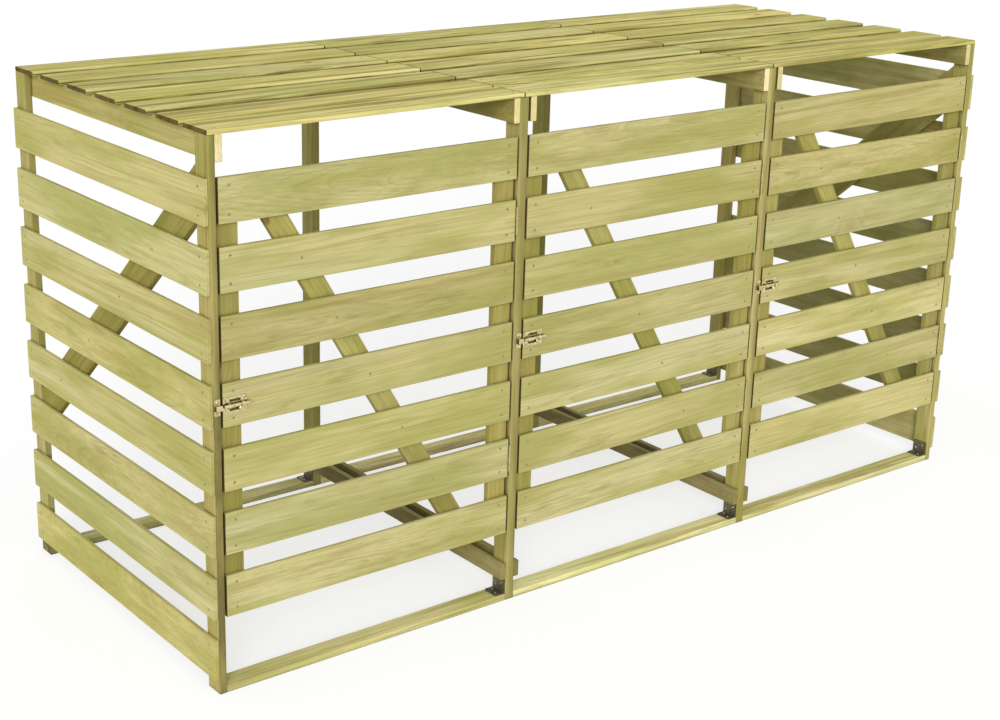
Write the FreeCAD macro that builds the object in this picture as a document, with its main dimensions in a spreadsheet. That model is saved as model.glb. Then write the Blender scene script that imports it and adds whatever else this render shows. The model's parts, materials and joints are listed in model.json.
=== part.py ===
import FreeCAD, Part
import os
import re

import Sketcher
from FreeCAD import Placement, Rotation, Vector

# A three bay store for wheeled bins, made of pressure treated softwood boards on slim posts.
# Each end is clad with level slats on the outside of its posts, the back is left open, and each bay has
# a slatted door in front, hung on butt hinges at its right and held by a small barrel bolt at its left.
# The roof is three fixed sections of planks on battens.
# +X runs along the store to the right, +Y from the doors to the open back, +Z up. The origin lies on the
# ground, midway along the store and midway between the bolt keepers' fronts and the rear posts' backs.

os.makedirs("parts", exist_ok=True)
doc = FreeCAD.newDocument("wheelie_bin_store")
sheet = doc.addObject("Spreadsheet::Sheet", "Sizes")

# Counts, and which slats carry something, counted from the top one as 0

BAY_COUNT = 3
SIDE_SLAT_COUNT = 8
DOOR_SLAT_COUNT = 7
ROOF_PLANK_COUNT = 7
BAYS = range(1, BAY_COUNT + 1)
HINGED_SLAT_INDEXES = (1, 5)
LATCHED_SLAT_INDEX = 3
DOOR_BRACED_SLAT_INDEXES = range(1, 6)
SIDE_BRACED_SLAT_INDEXES = range(1, 5)

# Driving dimensions in millimetres

SIZES = {
    # Overall form
    "bay_clear_width": 700,
    "store_depth": 820,
    "store_height": 1120,
    "end_post_width": 16,
    "partition_post_width": 22,
    "post_depth": 45,
    # Slats of the ends and doors
    "slat_width": 87,
    "slat_thickness": 9,
    "foot_clearance": 32,
    "top_opening": 78.5,
    # Diagonal brace of each end
    "side_brace_thickness": 14,
    "side_brace_cut": 106,
    "side_brace_drop": 58,
    "side_brace_foot": 301,
    # Roof
    "roof_plank_width": 87,
    "roof_plank_thickness": 9,
    "front_plank_gap": 17,
    "roof_seam": 2,
    "batten_height": 51,
    "batten_thickness": 15,
    "batten_stand_off": 6,
    # Boards near the ground
    "bottom_rail_thickness": 15,
    "partition_rail_height": 37,
    "partition_rail_thickness": 13.5,
    "partition_rail_gap": 2,
    # Doors
    "door_gap": 4,
    "stile_width": 45,
    "stile_thickness": 15,
    "stile_inset": 5,
    "door_brace_thickness": 15,
    "door_brace_cut": 56,
    "door_brace_head_inset": 1,
    "door_brace_foot_inset": 26,
    # Corner brackets that hold the right end of each bottom rail
    "bracket_foot": 25,
    "bracket_leg": 34,
    "bracket_depth": 40,
    "bracket_thickness": 2.5,
    "bracket_hole_inset": 10,
    # Butt hinges
    "hinge_height": 60,
    "hinge_leaf_thickness": 1.2,
    "hinge_leaf_margin": 1,
    "hinge_knuckle_radius": 2.5,
    "hinge_knuckle_gap": 0.3,
    "hinge_pin_radius": 1.3,
    "hinge_pin_clearance": 0.05,
    "hinge_screw_spread": 20,
    # Barrel bolts
    "latch_plate_height": 33,
    "latch_plate_thickness": 1.2,
    "latch_guide_width": 5,
    "latch_guide_wall": 1.2,
    "latch_screw_inset": 4.5,
    "latch_window_height": 5,
    "latch_window_margin": 1.5,
    "bolt_radius": 3.5,
    "bolt_running_gap": 0.3,
    "bolt_nose_chamfer": 1,
    "bolt_tail": 6,
    "knob_radius": 3,
    "knob_reach": 11,
    "keeper_width": 13,
    "keeper_setback": 1.5,
    "keeper_clearance": 1,
    "keeper_screw_spread": 11,
    # Screws
    "wood_screw_radius": 1.7,
    "wood_screw_head_radius": 3.2,
    "wood_screw_head_depth": 2,
    "small_screw_radius": 1.3,
    "small_screw_head_radius": 2.5,
    "small_screw_head_depth": 1.2,
    "small_screw_length": 10,
    "pilot_clearance": 0.1,
    "screw_cover": 3,
    "screw_pair_spread": 54,
    "post_screw_spread": 20,
    "roof_screw_bite": 25,
    "rail_screw_bite": 28,
}

formulas = {}
nodes = {}


# Naming sizes and places

def full(formula):
    """Spell a formula out in terms of the sheet's cells."""
    return re.sub(r"\b[a-z]\w*", lambda match: formulas.get(match.group(), match.group()), str(formula))


def derive(word, formula):
    """Name a size or place that follows from the driving dimensions."""
    formulas[word] = f"({full(formula)})"


def value(formula):
    """The number that a formula gives with the sheet as it stands."""
    return float(sheet.evalExpression(full(formula)))


for row, (word, millimetres) in enumerate(SIZES.items(), start=1):
    sheet.set(f"A{row}", word)
    sheet.set(f"B{row}", str(millimetres))
    sheet.setAlias(f"B{row}", word)
    formulas[word] = f"Sizes.{word}"
doc.recompute()

# Planes that the boards share
derive("latch_lift", "latch_plate_thickness + bolt_running_gap + bolt_radius")
derive("keeper_rise", "latch_lift + bolt_radius + keeper_clearance")
derive("keeper_front", "keeper_rise + latch_plate_thickness")
derive("front_face", "-(store_depth - keeper_front) / 2")
derive("rear_face", "front_face + store_depth")
derive("partitions", BAY_COUNT - 1)
derive("clear_length", f"{BAY_COUNT} * bay_clear_width + partitions * partition_post_width")
derive("frame_right", "clear_length / 2 + end_post_width")
derive("frame_left", "-frame_right")
derive("post_top", "store_height - roof_plank_thickness")
derive("door_head", "post_top - top_opening")
derive("slat_pitch", f"(door_head - foot_clearance - slat_width) / {SIDE_SLAT_COUNT - 1}")
derive("door_height", f"{DOOR_SLAT_COUNT - 1} * slat_pitch + slat_width")
derive("door_foot", "door_head - door_height")
derive("stile_back", "front_face + slat_thickness + stile_thickness")
derive("partition_rail_foot", "bottom_rail_thickness + bracket_leg + partition_rail_gap")

derive("bay_pitch", "bay_clear_width + partition_post_width")
for bay in BAYS:
    derive(f"bay_left_{bay}", f"frame_left + end_post_width + {bay - 1} * bay_pitch")
    derive(f"bay_right_{bay}", f"bay_left_{bay} + bay_clear_width")
    derive(f"door_left_{bay}", f"bay_left_{bay} + door_gap")
    derive(f"door_right_{bay}", f"bay_right_{bay} - door_gap")
for level in range(SIDE_SLAT_COUNT):
    derive(f"slat_foot_{level}", f"door_head - slat_width - {level} * slat_pitch")
    derive(f"slat_middle_{level}", f"slat_foot_{level} + slat_width / 2")


# Drawing

def place(thing, x, y, z):
    """Tie a piece's place to formulas."""
    for axis, formula in (("x", x), ("y", y), ("z", z)):
        thing.setExpression(f"Placement.Base.{axis}", full(formula))
    return thing


TURNS = {
    "up": Rotation(),
    "down": Rotation(Vector(1, 0, 0), 180),
    "right": Rotation(Vector(0, 1, 0), 90),
    "left": Rotation(Vector(0, 1, 0), -90),
    "back": Rotation(Vector(1, 0, 0), -90),
    "front": Rotation(Vector(1, 0, 0), 90),
}


def box(name, x, y, z, length, width, height):
    """A board or block from its lower corner, with its length along X, width along Y and height along Z."""
    solid = doc.addObject("Part::Box", name)
    for measure, formula in (("Length", length), ("Width", width), ("Height", height)):
        solid.setExpression(measure, full(formula))
    return place(solid, x, y, z)


def cylinder(name, x, y, z, radius, length, way="up"):
    """A round bar that starts at a point and runs one way."""
    solid = doc.addObject("Part::Cylinder", name)
    solid.Placement = Placement(Vector(), TURNS[way])
    solid.setExpression("Radius", full(radius))
    solid.setExpression("Height", full(length))
    return place(solid, x, y, z)


def copy(master, name, x, y, z, way="up"):
    """Another piece of the same shape somewhere else."""
    link = doc.addObject("App::Link", name)
    link.LinkedObject = master
    link.Placement = Placement(Vector(), TURNS[way])
    return place(link, x, y, z)


def group(name, members):
    """Several separate solids in one object."""
    compound = doc.addObject("Part::Compound", name)
    compound.Links = members
    return compound


def fuse(name, pieces):
    """One solid of several that meet."""
    solid = doc.addObject("Part::MultiFuse", name)
    solid.Shapes = pieces
    solid.Refine = True
    return solid


def cut(name, base, tools):
    """A piece less the solids that pass through it."""
    solid = doc.addObject("Part::Cut", name)
    solid.Base = base
    solid.Tool = group(f"{name}_tools", tools)
    return solid


def sketch_on(body, role, name):
    """A new sketch on one of the body's own planes."""
    sketch = body.newObject("Sketcher::SketchObject", name)
    plane = next(feature for feature in body.Origin.OriginFeatures if feature.Role == role)
    sketch.AttachmentSupport = [(plane, "")]
    sketch.MapMode = "FlatFace"
    return sketch


def pin(sketch, geometry, vertex, across, up):
    """Hold a point of a sketch at two distances from its origin."""
    for kind, axis, formula in (("DistanceX", -2, across), ("DistanceY", -1, up)):
        if formula == "0":
            sketch.addConstraint(Sketcher.Constraint("PointOnObject", geometry, vertex, axis))
            continue
        number = sketch.addConstraint(Sketcher.Constraint(kind, -1, 1, geometry, vertex, value(formula)))
        sketch.setExpression(f"Constraints[{number}]", full(formula))


def outline(sketch, corners):
    """A closed outline through corners that are given as pairs of formulas."""
    points = [Vector(value(across), value(up), 0) for across, up in corners]
    following = [(index + 1) % len(points) for index in range(len(points))]
    for index, after in enumerate(following):
        sketch.addGeometry(Part.LineSegment(points[index], points[after]), False)
    for index, after in enumerate(following):
        sketch.addConstraint(Sketcher.Constraint("Coincident", index, 2, after, 1))
    for index, (across, up) in enumerate(corners):
        pin(sketch, index, 1, across, up)


def circle(sketch, across, up, radius):
    """A circle about a point that is given as a pair of formulas."""
    centre = Vector(value(across), value(up), 0)
    index = sketch.addGeometry(Part.Circle(centre, Vector(0, 0, 1), value(radius)), False)
    pin(sketch, index, 3, across, up)
    number = sketch.addConstraint(Sketcher.Constraint("Radius", index, value(radius)))
    sketch.setExpression(f"Constraints[{number}]", full(radius))


def pad(body, sketch, length, reverse=False):
    """Raise a sketch into a solid, to the back of its plane where it is reversed."""
    feature = body.newObject("PartDesign::Pad", f"{sketch.Name}_pad")
    feature.Profile = sketch
    feature.Reversed = reverse
    feature.setExpression("Length", full(length))
    return feature


def revolve(body, sketch, axis):
    """Turn a sketch once round one of its own axes."""
    feature = body.newObject("PartDesign::Revolution", f"{sketch.Name}_turned")
    feature.Profile = sketch
    feature.ReferenceAxis = (sketch, [axis])
    feature.Angle = 360
    return feature


def node(name, piece):
    """Hand a finished sub-part over under its own name."""
    piece.Label = name
    nodes[name] = piece


# Screws and the holes that they are driven into

def screw_body(name, length, radius, head_radius, head_depth, sunk, ease):
    """A screw that points up from the middle of its head's face, larger all round by ease."""
    body = doc.addObject("PartDesign::Body", name)
    sketch = sketch_on(body, "XZ_Plane", f"{name}_profile")
    shank = f"{radius} + {ease}"
    rim = f"{head_radius} + {ease}"
    neck = [(shank, head_depth)] if sunk else [(rim, head_depth), (shank, head_depth)]
    tip = f"{length} + {ease}"
    outline(sketch, [("0", "0"), (rim, "0"), *neck, (shank, f"{tip} - {radius}"), ("0", tip)])
    revolve(body, sketch, "V_Axis")
    return body


class Screws:
    """One kind of screw, with its places so far and the holes that go with them."""

    def __init__(self, kind, length, wood=True, sunk=True):
        prefix = "wood_screw" if wood else "small_screw"
        measures = (length, f"{prefix}_radius", f"{prefix}_head_radius", f"{prefix}_head_depth", sunk)
        self.kind = kind
        self.screw = screw_body(kind, *measures, "0")
        self.pilot = screw_body(f"{kind}_pilot", *measures, "pilot_clearance")
        self.placed = []
        self.holes = []

    def drive(self, x, y, z, way):
        """Place a screw by the middle of its head's face and the way that it points."""
        self.placed.append(copy(self.screw, f"{self.kind}_placed", x, y, z, way))
        self.holes.append(copy(self.pilot, f"{self.kind}_hole", x, y, z, way))

    def take(self):
        """The screws placed since the last time, with their holes."""
        placed, holes = self.placed, self.holes
        self.placed, self.holes = [], []
        return placed, holes


side_screws = Screws("side_screw", "slat_thickness + end_post_width - screw_cover")
side_brace_screws = Screws("side_brace_screw", "slat_thickness + side_brace_thickness - screw_cover")
roof_screws = Screws("roof_screw", "roof_plank_thickness + roof_screw_bite")
batten_screws = Screws("batten_screw", "batten_thickness + end_post_width - screw_cover")
derive("half_partition", "partition_post_width / 2")
partition_screws = Screws("partition_screw", "partition_rail_thickness + half_partition - screw_cover")
end_rail_screws = Screws("end_rail_screw", "end_post_width + rail_screw_bite")
inner_rail_screws = Screws("inner_rail_screw", "partition_post_width + rail_screw_bite")
bracket_screws = Screws("bracket_screw", "small_screw_length", wood=False, sunk=False)
door_screws = Screws("door_screw", "slat_thickness + stile_thickness - screw_cover")
hinge_screws = Screws("hinge_screw", "small_screw_length", wood=False)
latch_screws = Screws("latch_screw", "small_screw_length", wood=False, sunk=False)

POST_ROWS = {"front": "front_face", "rear": "rear_face - post_depth"}


def post_pairs():
    """The two screw places across each of the front and rear posts."""
    rows = POST_ROWS.values()
    return [f"{row} + (post_depth {sign} post_screw_spread) / 2" for row in rows for sign in "-+"]


def slat_pairs(level):
    """The heights of the two screws at the end of a slat."""
    return [f"slat_middle_{level} {sign} screw_pair_spread / 2" for sign in "-+"]


# Screws of the clad ends, where the brace crosses the middle slats on a straight line

derive("brace_span", "store_depth - 2 * post_depth")
derive("side_brace_head", "post_top - side_brace_drop")
derive("side_brace_fall", "side_brace_head - side_brace_foot - side_brace_cut")
derive("side_brace_middle", "side_brace_head - side_brace_cut / 2")

END_FACES = {
    "left": ("frame_left - slat_thickness", "right"),
    "right": ("frame_right + slat_thickness", "left"),
}
side_fixings = {}
side_holes = {}
for end, (face, way) in END_FACES.items():
    for level in range(SIDE_SLAT_COUNT):
        for row in POST_ROWS.values():
            for height in slat_pairs(level):
                side_screws.drive(face, f"{row} + post_depth / 2", height, way)
    for level in SIDE_BRACED_SLAT_INDEXES:
        share = f"(side_brace_middle - slat_middle_{level}) / side_brace_fall"
        across = f"front_face + post_depth + {share} * brace_span"
        side_brace_screws.drive(face, across, f"slat_middle_{level}", way)
    long_ones, long_holes = side_screws.take()
    short_ones, short_holes = side_brace_screws.take()
    side_fixings[end] = long_ones + short_ones
    side_holes[end] = group(f"{end}_side_holes", long_holes + short_holes)

# Screws of the roof, two in each plank over each batten

derive("roof_open", f"store_depth - {ROOF_PLANK_COUNT} * roof_plank_width")
derive("roof_gap", f"(roof_open - front_plank_gap) / {ROOF_PLANK_COUNT - 2}")
for plank in range(1, ROOF_PLANK_COUNT):
    gaps = ROOF_PLANK_COUNT - 1 - plank
    derive(f"plank_front_{plank}", f"rear_face - roof_plank_width - {gaps} * (roof_plank_width + roof_gap)")
derive("plank_front_0", "front_face")
for bay in BAYS:
    stand_off = "0" if bay == BAYS[0] else "batten_stand_off"
    derive(f"left_batten_{bay}", f"bay_left_{bay} + {stand_off}")
    derive(f"right_batten_{bay}", f"bay_right_{bay} - batten_thickness")

roof_fixings = []
roof_holes = {}
for bay in BAYS:
    for batten in (f"left_batten_{bay}", f"right_batten_{bay}"):
        for plank in range(ROOF_PLANK_COUNT):
            for sign in "-+":
                across = f"plank_front_{plank} + (roof_plank_width {sign} screw_pair_spread) / 2"
                roof_screws.drive(f"{batten} + batten_thickness / 2", across, "store_height", "down")
    placed, holes = roof_screws.take()
    roof_fixings += placed
    roof_holes[bay] = group(f"roof_holes_{bay}", holes)

# Screws that join battens and rails to the posts

for across in post_pairs():
    batten_screws.drive("left_batten_1 + batten_thickness", across, "post_top - batten_height / 2", "left")
    for bay in BAYS:
        batten_screws.drive(f"right_batten_{bay}", across, "post_top - batten_height / 2", "right")
    for bay in BAYS[:-1]:
        height = "partition_rail_foot + partition_rail_height / 2"
        partition_screws.drive(f"bay_right_{bay} - partition_rail_thickness", across, height, "right")
        partition_screws.drive(f"bay_left_{bay + 1} + partition_rail_thickness", across, height, "left")
for row in POST_ROWS.values():
    middle = f"{row} + post_depth / 2"
    end_rail_screws.drive("frame_left", middle, "bottom_rail_thickness / 2", "right")
    for bay in BAYS[:-1]:
        inner_rail_screws.drive(f"bay_right_{bay}", middle, "bottom_rail_thickness / 2", "right")

frame_fixings = []
frame_hole_list = []
for screws in (batten_screws, partition_screws, end_rail_screws, inner_rail_screws):
    placed, holes = screws.take()
    frame_fixings += placed
    frame_hole_list += holes
frame_holes = group("frame_holes", frame_hole_list)

# Corner brackets, one at the right end of each bottom rail, front and rear, with staggered screws

derive("bracket_margin", "(post_depth - bracket_depth) / 2")
derive("bracket_near", "bracket_hole_inset")
derive("bracket_far", "bracket_depth - bracket_hole_inset")
derive("foot_hole_near", "(bracket_foot - bracket_thickness) / 3")
derive("foot_hole_far", "2 * (bracket_foot - bracket_thickness) / 3")
derive("leg_hole_near", "bracket_thickness + (bracket_leg - bracket_thickness) / 3")
derive("leg_hole_far", "bracket_thickness + 2 * (bracket_leg - bracket_thickness) / 3")
FOOT_HOLES = (("foot_hole_near", "bracket_near"), ("foot_hole_far", "bracket_far"))
LEG_HOLES = (("bracket_near", "leg_hole_far"), ("bracket_far", "leg_hole_near"))

bracket = doc.addObject("PartDesign::Body", "bracket")
bracket_profile = sketch_on(bracket, "XZ_Plane", "bracket_profile")
outline(bracket_profile, [
    ("0", "0"),
    ("bracket_foot", "0"),
    ("bracket_foot", "bracket_leg"),
    ("bracket_foot - bracket_thickness", "bracket_leg"),
    ("bracket_foot - bracket_thickness", "bracket_thickness"),
    ("0", "bracket_thickness"),
])
pad(bracket, bracket_profile, "bracket_depth", reverse=True)
doc.recompute()


def punch(body, role, name, holes, radius):
    """Holes that run from one of the body's planes into the solid."""
    sketch = sketch_on(body, role, name)
    for across, up in holes:
        circle(sketch, across, up, radius)
    before = body.Shape.Volume
    pocket = body.newObject("PartDesign::Pocket", f"{name}_pocket")
    pocket.Profile = sketch
    pocket.Type = "ThroughAll"
    pocket.Reversed = True
    doc.recompute()
    if body.Shape.Volume >= before:
        raise RuntimeError(f"{name} cuts nothing")


derive("small_hole_radius", "small_screw_radius + pilot_clearance")
punch(bracket, "XY_Plane", "bracket_foot_holes", FOOT_HOLES, "small_hole_radius")
punch(bracket, "YZ_Plane", "bracket_leg_holes", LEG_HOLES, "small_hole_radius")

brackets = []
for bay in BAYS:
    for row in POST_ROWS.values():
        left = f"bay_right_{bay} - bracket_foot"
        front = f"{row} + bracket_margin"
        brackets.append(copy(bracket, "bracket_placed", left, front, "bottom_rail_thickness"))
        for across, along in FOOT_HOLES:
            top = "bottom_rail_thickness + bracket_thickness + small_screw_head_depth"
            bracket_screws.drive(f"{left} + {across}", f"{front} + {along}", top, "down")
        for along, up in LEG_HOLES:
            face = f"bay_right_{bay} - bracket_thickness - small_screw_head_depth"
            bracket_screws.drive(face, f"{front} + {along}", f"bottom_rail_thickness + {up}", "right")
bracket_fixings, bracket_hole_list = bracket_screws.take()
bracket_holes = group("bracket_holes", bracket_hole_list)

# Hinges, with the pin just in front of the gap between door and post

derive("pin_setback", "hinge_knuckle_radius + hinge_knuckle_gap")
derive("pin_line", "front_face - pin_setback")
derive("leaf_reach", "slat_thickness + stile_thickness - hinge_leaf_margin")
derive("hinge_screw_line", "slat_thickness + stile_thickness / 2")
derive("knuckle_length", "(hinge_height - 2 * hinge_knuckle_gap) / 3")
derive("knuckle_pitch", "knuckle_length + hinge_knuckle_gap")
derive("pin_bore_radius", "hinge_pin_radius + hinge_pin_clearance")
HINGE_SCREW_HEIGHTS = [f"hinge_height / 2 + {step} * hinge_screw_spread" for step in (-1, 0, 1)]


def leaf(name, inner, knuckles, way):
    """One leaf of a hinge, about the pin, with a plate from inner and its countersinks on the inner side."""
    measures = ("hinge_leaf_thickness", "leaf_reach", "hinge_height")
    plate = [box(f"{name}_plate", inner, "pin_setback", "0", *measures)]
    for knuckle in knuckles:
        foot = f"{knuckle} * knuckle_pitch"
        measures = ("hinge_leaf_thickness", "pin_setback", "knuckle_length")
        plate.append(box(f"{name}_neck", inner, "0", foot, *measures))
        plate.append(cylinder(f"{name}_knuckle", "0", "0", foot, "hinge_knuckle_radius", "knuckle_length"))
    bore = cylinder(f"{name}_bore", "0", "0", "0", "pin_bore_radius", "hinge_height")
    face = inner if way == "right" else f"{inner} + hinge_leaf_thickness"
    sinks = []
    for height in HINGE_SCREW_HEIGHTS:
        across = "pin_setback + hinge_screw_line"
        sinks.append(copy(hinge_screws.pilot, f"{name}_sink", face, across, height, way))
    return cut(name, fuse(f"{name}_solid", plate), [bore, *sinks])


derive("post_leaf_inner", "door_gap / 2 - hinge_leaf_thickness")
derive("door_leaf_inner", "-door_gap / 2")
post_leaf = leaf("post_leaf", "post_leaf_inner", (0, 2), "right")
door_leaf = leaf("door_leaf", "door_leaf_inner", (1,), "left")
hinge_pin = cylinder("hinge_pin", "0", "0", "0", "hinge_pin_radius", "hinge_height")

post_leaves = []
hinge_pins = []
door_leaves = {bay: [] for bay in BAYS}
post_hinge_holes = []
post_hinge_fixings = []
door_hinge_holes = {}
door_hinge_fixings = {}
for bay in BAYS:
    derive(f"pin_place_{bay}", f"bay_right_{bay} - door_gap / 2")
    feet = [f"slat_middle_{level} - hinge_height / 2" for level in HINGED_SLAT_INDEXES]
    for foot in feet:
        post_leaves.append(copy(post_leaf, "post_leaf_placed", f"pin_place_{bay}", "pin_line", foot))
        hinge_pins.append(copy(hinge_pin, "hinge_pin_placed", f"pin_place_{bay}", "pin_line", foot))
        door_leaves[bay].append(copy(door_leaf, "door_leaf_placed", f"pin_place_{bay}", "pin_line", foot))
    across = "front_face + hinge_screw_line"
    for face, way in ((f"bay_right_{bay} - hinge_leaf_thickness", "right"),
                      (f"door_right_{bay} + hinge_leaf_thickness", "left")):
        for foot in feet:
            for height in HINGE_SCREW_HEIGHTS:
                hinge_screws.drive(face, across, f"{foot} + {height}", way)
        placed, holes = hinge_screws.take()
        if way == "right":
            post_hinge_fixings += placed
            post_hinge_holes += holes
        else:
            door_hinge_fixings[bay] = placed
            door_hinge_holes[bay] = holes

# Barrel bolts, stored drawn back, so that each door is free to open. The knob travels between the two
# guides, from its place beside the second one to its rest beside the first.

derive("bolt_bore_radius", "bolt_radius + bolt_running_gap")
derive("guide_radius", "bolt_bore_radius + latch_guide_wall")
derive("bolt_throw", "door_gap + keeper_setback + keeper_width - bolt_nose_chamfer")
derive("first_guide", "2 * latch_screw_inset")
derive("knob_rest", "first_guide + latch_guide_width + bolt_running_gap + knob_radius")
derive("knob_place", "knob_rest + bolt_throw")
derive("second_guide", "knob_place + knob_radius + bolt_running_gap")
derive("latch_plate_length", "second_guide + latch_guide_width + 2 * latch_screw_inset")
derive("bolt_length", "latch_plate_length + bolt_tail")
derive("latch_screw_rise", "latch_plate_height / 2 - latch_screw_inset")
derive("latch_height", f"slat_middle_{LATCHED_SLAT_INDEX}")
derive("window_left", "first_guide + latch_guide_width")
derive("window_length", "second_guide - window_left")
derive("window_foot", "guide_radius + latch_window_margin")
LATCH_SCREW_PLACES = [
    (across, up)
    for across in ("latch_screw_inset", "latch_plate_length - latch_screw_inset")
    for up in ("-latch_screw_rise", "latch_screw_rise")
]


def latch_plate(name):
    """The bolt's backplate with two guides and two windows, about its left end at the bolt's height."""
    measures = ("latch_plate_length", "latch_plate_thickness", "latch_plate_height")
    pieces = [box(f"{name}_back", "0", "-latch_plate_thickness", "-latch_plate_height / 2", *measures)]
    for start in ("first_guide", "second_guide"):
        measures = ("latch_guide_width", "latch_lift", "2 * guide_radius")
        arch = ("guide_radius", "latch_guide_width", "right")
        pieces.append(box(f"{name}_guide", start, "-latch_lift", "-guide_radius", *measures))
        pieces.append(cylinder(f"{name}_arch", start, "-latch_lift", "0", *arch))
    tunnel = ("bolt_bore_radius", "latch_plate_length", "right")
    bore = cylinder(f"{name}_bore", "0", "-latch_lift", "0", *tunnel)
    window = ("window_length", "latch_plate_thickness", "latch_window_height")
    holes = []
    for foot in ("window_foot", "-window_foot - latch_window_height"):
        holes.append(box(f"{name}_window", "window_left", "-latch_plate_thickness", foot, *window))
    for across, up in LATCH_SCREW_PLACES:
        head_face = "-latch_plate_thickness - small_screw_head_depth"
        holes.append(copy(latch_screws.pilot, f"{name}_hole", across, head_face, up, "back"))
    return cut(name, fuse(f"{name}_solid", pieces), [bore, *holes])


def latch_bolt(name):
    """A round bolt that starts at its nose, with a knob that hangs down."""
    body = doc.addObject("PartDesign::Body", name)
    profile = sketch_on(body, "XZ_Plane", f"{name}_profile")
    outline(profile, [
        ("0", "0"),
        ("0", "bolt_radius - bolt_nose_chamfer"),
        ("bolt_nose_chamfer", "bolt_radius"),
        ("bolt_length", "bolt_radius"),
        ("bolt_length", "0"),
    ])
    revolve(body, profile, "H_Axis")
    knob = sketch_on(body, "XY_Plane", f"{name}_knob")
    circle(knob, "knob_place", "0", "knob_radius")
    pad(body, knob, "knob_reach", reverse=True)
    return body


derive("keeper_arch", "bolt_radius + keeper_clearance")


def keeper(name):
    """A strap that stands on the post's face, about its left side at the bolt's height."""
    plate = ("keeper_width", "latch_plate_thickness", "latch_plate_height / 2 - keeper_arch")
    leg = ("keeper_width", "keeper_front", "latch_plate_thickness")
    crown = ("keeper_width", "latch_plate_thickness", "2 * (keeper_arch + latch_plate_thickness)")
    pieces = [
        box(f"{name}_low_foot", "0", "-latch_plate_thickness", "-latch_plate_height / 2", *plate),
        box(f"{name}_high_foot", "0", "-latch_plate_thickness", "keeper_arch", *plate),
        box(f"{name}_low_leg", "0", "-keeper_front", "-keeper_arch - latch_plate_thickness", *leg),
        box(f"{name}_high_leg", "0", "-keeper_front", "keeper_arch", *leg),
        box(f"{name}_crown", "0", "-keeper_front", "-keeper_arch - latch_plate_thickness", *crown),
    ]
    holes = []
    for up in ("-keeper_screw_spread", "keeper_screw_spread"):
        head_face = "-latch_plate_thickness - small_screw_head_depth"
        holes.append(copy(latch_screws.pilot, f"{name}_hole", "keeper_width / 2", head_face, up, "back"))
    return cut(name, fuse(f"{name}_solid", pieces), holes)


plate_master = latch_plate("latch_plate")
keeper_master = keeper("keeper")
keepers = []
plates = {}
plate_fixings = {}
plate_holes = {}
keeper_fixings = []
keeper_holes = []
for bay in BAYS:
    spot = (f"door_left_{bay}", "front_face", "latch_height")
    plates[bay] = group(f"plate_of_door_{bay}", [copy(plate_master, "latch_plate_placed", *spot)])
    head_face = "front_face - latch_plate_thickness - small_screw_head_depth"
    for across, up in LATCH_SCREW_PLACES:
        latch_screws.drive(f"door_left_{bay} + {across}", head_face, f"latch_height + {up}", "back")
    plate_fixings[bay], plate_holes[bay] = latch_screws.take()
    left = f"bay_left_{bay} - keeper_setback - keeper_width"
    keepers.append(copy(keeper_master, "keeper_placed", left, "front_face", "latch_height"))
    for up in ("-keeper_screw_spread", "keeper_screw_spread"):
        latch_screws.drive(f"{left} + keeper_width / 2", head_face, f"latch_height + {up}", "back")
    placed, holes = latch_screws.take()
    keeper_fixings += placed
    keeper_holes += holes
    bolt = latch_bolt(f"bolt_{bay}")
    node(f"latch_bolt_{bay}", place(bolt, f"door_left_{bay}", "front_face - latch_lift", "latch_height"))
    node(f"latch_plate_{bay}", plates[bay])
    node(f"latch_plate_screws_{bay}", group(f"plate_fixings_{bay}", plate_fixings[bay]))

hardware_holes = group("hardware_holes", post_hinge_holes + keeper_holes)

# Posts, each drilled for what is fixed to it

post_places = [("left", "frame_left", "end_post_width")]
for bay in BAYS[:-1]:
    post_places.append((f"partition_{bay}", f"bay_right_{bay}", "partition_post_width"))
post_places.append(("right", "frame_right - end_post_width", "end_post_width"))
for row, front in POST_ROWS.items():
    for label, left, width in post_places:
        name = f"{row}_{label}_post"
        post = box(f"{name}_board", left, front, "0", width, "post_depth", "post_top")
        tools = [frame_holes, bracket_holes]
        if row == "front":
            tools.append(hardware_holes)
        if label in side_holes:
            tools.append(side_holes[label])
        node(name, cut(f"{name}_drilled", post, tools))

# Clad ends

for end, outer, brace_left in (("left", "frame_left - slat_thickness", "frame_left"),
                               ("right", "frame_right", "frame_right - side_brace_thickness")):
    slats = []
    for level in range(SIDE_SLAT_COUNT):
        measures = ("slat_thickness", "store_depth", "slat_width")
        slats.append(box(f"{end}_slat", outer, "front_face", f"slat_foot_{level}", *measures))
    cladding = group(f"{end}_slats", slats)
    node(f"{end}_side_slats", cut(f"{end}_slats_drilled", cladding, [side_holes[end]]))
    body = doc.addObject("PartDesign::Body", f"{end}_brace")
    sketch = sketch_on(body, "YZ_Plane", f"{end}_brace_outline")
    outline(sketch, [
        ("0", "side_brace_head - side_brace_cut"),
        ("brace_span", "side_brace_foot"),
        ("brace_span", "side_brace_foot + side_brace_cut"),
        ("0", "side_brace_head"),
    ])
    pad(body, sketch, "side_brace_thickness")
    place(body, brace_left, "front_face + post_depth", "0")
    node(f"{end}_side_brace", cut(f"{end}_brace_drilled", body, [side_holes[end]]))
node("side_screws", group("side_fixings", side_fixings["left"] + side_fixings["right"]))

# Rails on the ground between the posts, and low rails along both sides of each partition

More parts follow.
